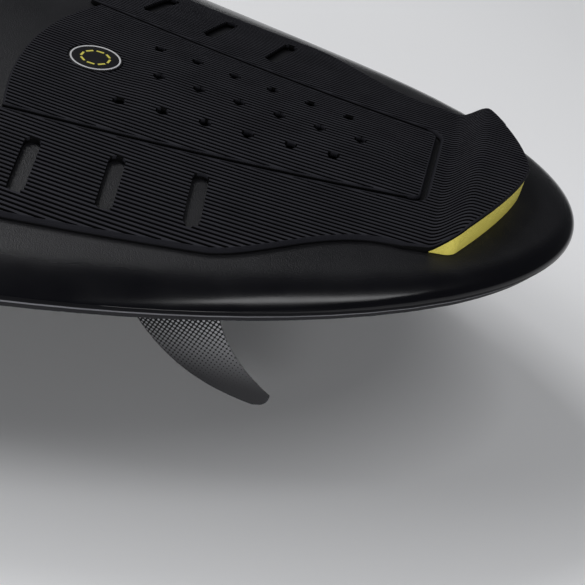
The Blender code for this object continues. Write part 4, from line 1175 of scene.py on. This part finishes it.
# The outer pad: a U of the same ribbed foam, whose two wings have slots cut through to the deck.
# Behind the bar it runs without a seam up a ramp and over the kick. Its wings are rounded over at the edge.
PAD_FRONT_FROM_TAIL = 0.3285
WING_FRONT_HALF_WIDTH = 0.163
WING_SHOULDER_FROM_TAIL = 0.1885
WING_SHOULDER_HALF_WIDTH = 0.1335
WAIST_FROM_TAIL = 0.0935
WAIST_HALF_WIDTH = 0.085
WING_CORNER_RADIUS = 0.018
KICK_CORNER_RADIUS = 0.011
SLOT_COUNT = 3
SLOT_LENGTH = 0.0440
SLOT_WIDTH = 0.0090
SLOT_PITCH = 0.0439
SLOT_FRONT_FROM_TAIL = 0.2899
SLOT_OFFSETS = (0.1160, 0.0993)
SLOT_SKEW = math.radians(9.4)
KICK_RAMP = 0.0185
KICK_RISE = 0.0132
KICK_TOP_FROM_TAIL = 0.0356
KICK_SWEEP = 0.0445
KICK_HALF_WIDTH = 0.1018
KICK_END_HALF_WIDTH = 0.0790
KICK_REAR_POWER = 1.47
KICK_SIDE_POWER = 12
KICK_COVER = 0.0017
WEDGE_COVER = 0.0003
KICK_LEAD = 0.0014
WEDGE_GAIN = (KICK_RISE + PAD_THICKNESS - KICK_COVER + WEDGE_COVER) / KICK_RISE
CURVE_POINTS = 40
RAMP_MARGIN = 0.002
RAMP_STEP = 0.0015
KICK_STEP = 0.005

kick_foot = from_tail(KICK_FOOT_FROM_TAIL)


def wing_edge(x):
    """Half width of the pad's outer edge: a straight wing that draws in to the waist before the kick."""
    front_x = from_tail(PAD_FRONT_FROM_TAIL)
    shoulder_x = from_tail(WING_SHOULDER_FROM_TAIL)
    slope = (WING_SHOULDER_HALF_WIDTH - WING_FRONT_HALF_WIDTH) / (shoulder_x - front_x)
    straight = WING_FRONT_HALF_WIDTH + slope * (x - front_x)
    waist = (x - shoulder_x) / (from_tail(WAIST_FROM_TAIL) - shoulder_x)
    return float(mix(straight, WAIST_HALF_WIDTH, ease(waist)))


def kick_rear(y):
    return from_tail(KICK_TOP_FROM_TAIL) - KICK_SWEEP * (abs(y) / KICK_HALF_WIDTH) ** KICK_REAR_POWER


def kick_rise(x, y):
    side = np.maximum(0.0, 1 - (np.abs(y) / KICK_HALF_WIDTH) ** KICK_SIDE_POWER)
    return KICK_RISE * ease((x - kick_foot) / KICK_RAMP) * side


def wedge_lift(x, y):
    """Thickness of the wedge: it starts a little before the ramp and leaves a thin cover over the kick."""
    early = kick_rise(x + KICK_LEAD * (1 - (x - kick_foot) / KICK_RAMP), y) * WEDGE_GAIN - WEDGE_COVER
    return np.clip(early, 0.0, PAD_THICKNESS + kick_rise(x, y) - KICK_COVER)


def outer_top(x, y):
    return pad_base(x, y) + PAD_THICKNESS + kick_rise(x, y)


def outer_base(x, y):
    return pad_base(x, y) + wedge_lift(x, y)


def slot_loop(x, y, turn, end_steps=12):
    """Round-ended slot across a wing."""
    radius = SLOT_WIDTH / 2
    reach = SLOT_LENGTH / 2 - radius
    points = []
    for end in (1, -1):
        for angle in np.linspace(0, math.pi, end_steps + 1):
            points.append((radius * math.cos(angle) * end, end * (reach + radius * math.sin(angle))))
    cosine, sine = math.cos(turn), math.sin(turn)
    return dense([(x + u * cosine - v * sine, y + u * sine + v * cosine) for u, v in points], OUTLINE_STEP)


outer_front = from_tail(PAD_FRONT_FROM_TAIL)
waist_x = from_tail(WAIST_FROM_TAIL)
rim_corners = [
    (outer_front, bar_half_width(outer_front) + SIDE_GROOVE, SIDE_GROOVE * 2),
    (outer_front, wing_edge(outer_front), WING_CORNER_RADIUS),
]
for x in np.linspace(outer_front + 2 * WING_CORNER_RADIUS, waist_x, CURVE_POINTS):
    rim_corners.append((float(x), wing_edge(x), 0))
rim_corners.append((kick_rear(KICK_END_HALF_WIDTH), KICK_END_HALF_WIDTH, KICK_CORNER_RADIUS))
for y in np.linspace(KICK_END_HALF_WIDTH - KICK_CORNER_RADIUS, 0, CURVE_POINTS):
    rim_corners.append((float(kick_rear(y)), float(y), 0))
throat = bar_side(SIDE_GROOVE, REAR_GROOVE)[1:]
rim_corners += [(throat[-1][0], 0.0, 0)] + [(x, y, 0) for x, y in throat[::-1]]
outer_half = rounded(rim_corners)
cut_at = len(outer_half) - len(throat) - 1
outer_rim = outer_half[:cut_at]
outer_throat = outer_half[cut_at + 1 :]
outer_loop = outer_rim + [(x, -y) for x, y in outer_rim[-2::-1]]
outer_loop += [(x, -y) for x, y in outer_throat[::-1]] + outer_throat
outer_loop = dense(outer_loop, OUTLINE_STEP)

wing_slots = []
for side in (-1, 1):
    for index in range(SLOT_COUNT):
        offset = mix(*SLOT_OFFSETS, index / (SLOT_COUNT - 1))
        slot_x = from_tail(SLOT_FRONT_FROM_TAIL) + SLOT_PITCH * index
        wing_slots.append(slot_loop(slot_x, side * offset, -side * SLOT_SKEW))

kick_end = from_tail(KICK_TOP_FROM_TAIL)
outer_columns = np.concatenate(
    [
        np.arange(outer_front, kick_foot - 2 * RAMP_MARGIN, RIB_STEP),
        np.arange(kick_foot - RAMP_MARGIN, kick_foot + KICK_RAMP + RAMP_MARGIN, RAMP_STEP),
        np.arange(kick_foot + KICK_RAMP + 2 * RAMP_MARGIN, kick_end, KICK_STEP),
    ]
)
outer_pad = foam_sheet("pad_wings_and_kick", outer_loop, wing_slots, outer_top, outer_base, outer_columns)
cut_ribs(outer_pad, pad_finish)
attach(outer_pad, "hull")
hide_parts("pad_outer")


# The kick wedge: firm yellow foam under the ramp, glued to the deck and covered by the outer pad.
# Its rear face is left bare, and shows the close pores of cut foam.
WEDGE_SETBACK = 0.0007
WEDGE_EDGE_STEP = 0.002
WEDGE_HALF_SPAN = 0.09
WEDGE_STEP = 0.004
WEDGE_MARGIN = 0.0008
WEDGE_SHARP = 35
WEDGE_YELLOW = (0.74, 0.65, 0.14, 1)
WEDGE_SHADE = (0.64, 0.55, 0.10, 1)


def wedge_top(x, y):
    return outer_base(x, y) - BOND


wedge_front = kick_foot - KICK_LEAD / 2
wedge_loop = [(x, y) for x, y in outer_loop if x > wedge_front]
wedge_edge = inset(wound(dense(wedge_loop, WEDGE_EDGE_STEP), 1), WEDGE_SETBACK)
wedge_rows = np.arange(-WEDGE_HALF_SPAN, WEDGE_HALF_SPAN, WEDGE_STEP)
wedge_spots = np.array([(x, y) for x in outer_columns if x > wedge_front for y in wedge_rows])
wedge_spots = wedge_spots[inside_loop(wedge_spots, inset(wedge_edge, WEDGE_MARGIN))]
wedge_points = list(map(tuple, wedge_edge)) + list(map(tuple, wedge_spots))
edge_count = len(wedge_edge)
edge_pairs = [(i, (i + 1) % edge_count) for i in range(edge_count)]
corners, faces, number = flat_mesh(wedge_points, edge_pairs, [wedge_edge])
bm = bmesh.new()
upper = [bm.verts.new(point) for point in np.column_stack([corners, wedge_top(*corners.T)])]
lower = [bm.verts.new(point) for point in np.column_stack([corners, pad_base(*corners.T)])]
for face in faces:
    bm.faces.new([upper[i] for i in face])
    bm.faces.new([lower[i] for i in face[::-1]])
for first, last in edge_pairs:
    a, b = number[first], number[last]
    bm.faces.new((lower[a], lower[b], upper[b], upper[a]))
bmesh.ops.recalc_face_normals(bm, faces=bm.faces)
wedge = add_piece("kick_wedge_foam", bm, WEDGE_SHARP)

wedge_finish, tree, shader = new_finish("cut_yellow_foam", Roughness=0.7, Specular_IOR_Level=0.3)
tone, height = fine_grain(tree, 1800.0)
cells = add_node(tree, "ShaderNodeTexVoronoi", {"Vector": object_place(tree), "Scale": 1100.0})
pore = remap(tree, cells.outputs["Distance"], 0.1, 0.4, 1.0, 0.0)
foam_tone = blend_colors(tree, tone, WEDGE_YELLOW, WEDGE_SHADE)
pore_share = math_node(tree, "MULTIPLY", pore, 0.5)
tree.links.new(blend_colors(tree, pore_share, foam_tone, WEDGE_SHADE), shader.inputs["Base Color"])
add_bump(tree, shader, math_node(tree, "SUBTRACT", height, pore), 0.00012)
wedge.data.materials.append(wedge_finish)
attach(wedge, "hull")
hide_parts("kick_wedge")


# The studio: a plain pale floor, set low enough for a released fin, soft boxes and a dim surround.
# The boxes hang where the rail, the deck and the fin mirror them, and the camera looks from the near rail.
FLOOR_PALE = (0.90, 0.90, 0.90, 1)
FLOOR_SHADE = (0.88, 0.88, 0.88, 1)
FLOOR_DROP = 0.022
FLOOR_REACH = 12
SURROUND_COLOR = (0.9, 0.93, 1.0, 1)
SURROUND_STRENGTH = 0.08
LAMP_COLOR = (0.98, 0.985, 1.0)
CAMERA_PLACE = (0.64257, -0.62309, 0.45410)
LENS_MM = 74.27
SENSOR_MM = 36

bm = bmesh.new()
bmesh.ops.create_grid(bm, x_segments=1, y_segments=1, size=FLOOR_REACH)
bmesh.ops.translate(bm, verts=bm.verts, vec=(0, 0, -FLOOR_DROP))
floor = add_piece("studio_floor", bm, BOTTOM_SHARP)
floor_finish, tree, shader = new_finish("pale_floor", Roughness=0.8, Specular_IOR_Level=0.2)
tone, _ = fine_grain(tree, 60.0)
tree.links.new(blend_colors(tree, tone, FLOOR_PALE, FLOOR_SHADE), shader.inputs["Base Color"])
floor.data.materials.append(floor_finish)

world = bpy.data.worlds.new("studio")
bpy.context.scene.world = world
world.use_nodes = True
surround = world.node_tree.nodes["Background"].inputs
surround["Color"].default_value = SURROUND_COLOR
surround["Strength"].default_value = SURROUND_STRENGTH


def soft_box(name, place, target, size, power, turn=0.0):
    """A soft box aimed at a target, and turned about the upright by an angle in degrees."""
    lamp = bpy.data.lights.new(name, "AREA")
    lamp.shape = "RECTANGLE"
    lamp.size, lamp.size_y = size
    lamp.energy = power
    lamp.color = LAMP_COLOR
    made = bpy.data.objects.new(name, lamp)
    bpy.context.scene.collection.objects.link(made)
    made.location = place
    aim = (Vector(target) - Vector(place)).to_track_quat("-Z", "Y").to_matrix()
    made.rotation_euler = (Matrix.Rotation(math.radians(turn), 3, "Z") @ aim).to_euler()


soft_box("rail_strip", (1.16, -0.16, 1.75), (1.16, -0.16, 0.0), (1.1, 0.25), 6, -22)
soft_box("deck_sheen_box", (-0.55, 0.7, 1.75), (0.42, -0.1, 0.13), (0.7, 0.5), 15)
soft_box("front_box", (1.0, -2.5, 0.6), (0.55, -0.1, 0.06), (1.8, 0.9), 36)
soft_box("nose_box", (-2.0, -0.2, 2.2), (0.4, 0.0, 0.1), (2.2, 2.2), 55)

camera = bpy.data.cameras.new("photo_camera")
camera.sensor_width = SENSOR_MM
camera.lens = LENS_MM
camera_object = bpy.data.objects.new("photo_camera", camera)
bpy.context.scene.collection.objects.link(camera_object)
right = Vector((0.9522424, 0.21550891, 0.2163107))
down = Vector((0.30087087, -0.54143914, -0.78506074))
forward = Vector((-0.05206851, 0.81264972, -0.58042166))
turn = Matrix((right, -down, -forward)).transposed().to_4x4()
camera_object.matrix_world = Matrix.Translation(CAMERA_PLACE) @ turn
bpy.context.scene.camera = camera_object
bpy.context.scene.view_settings.view_transform = "Standard"
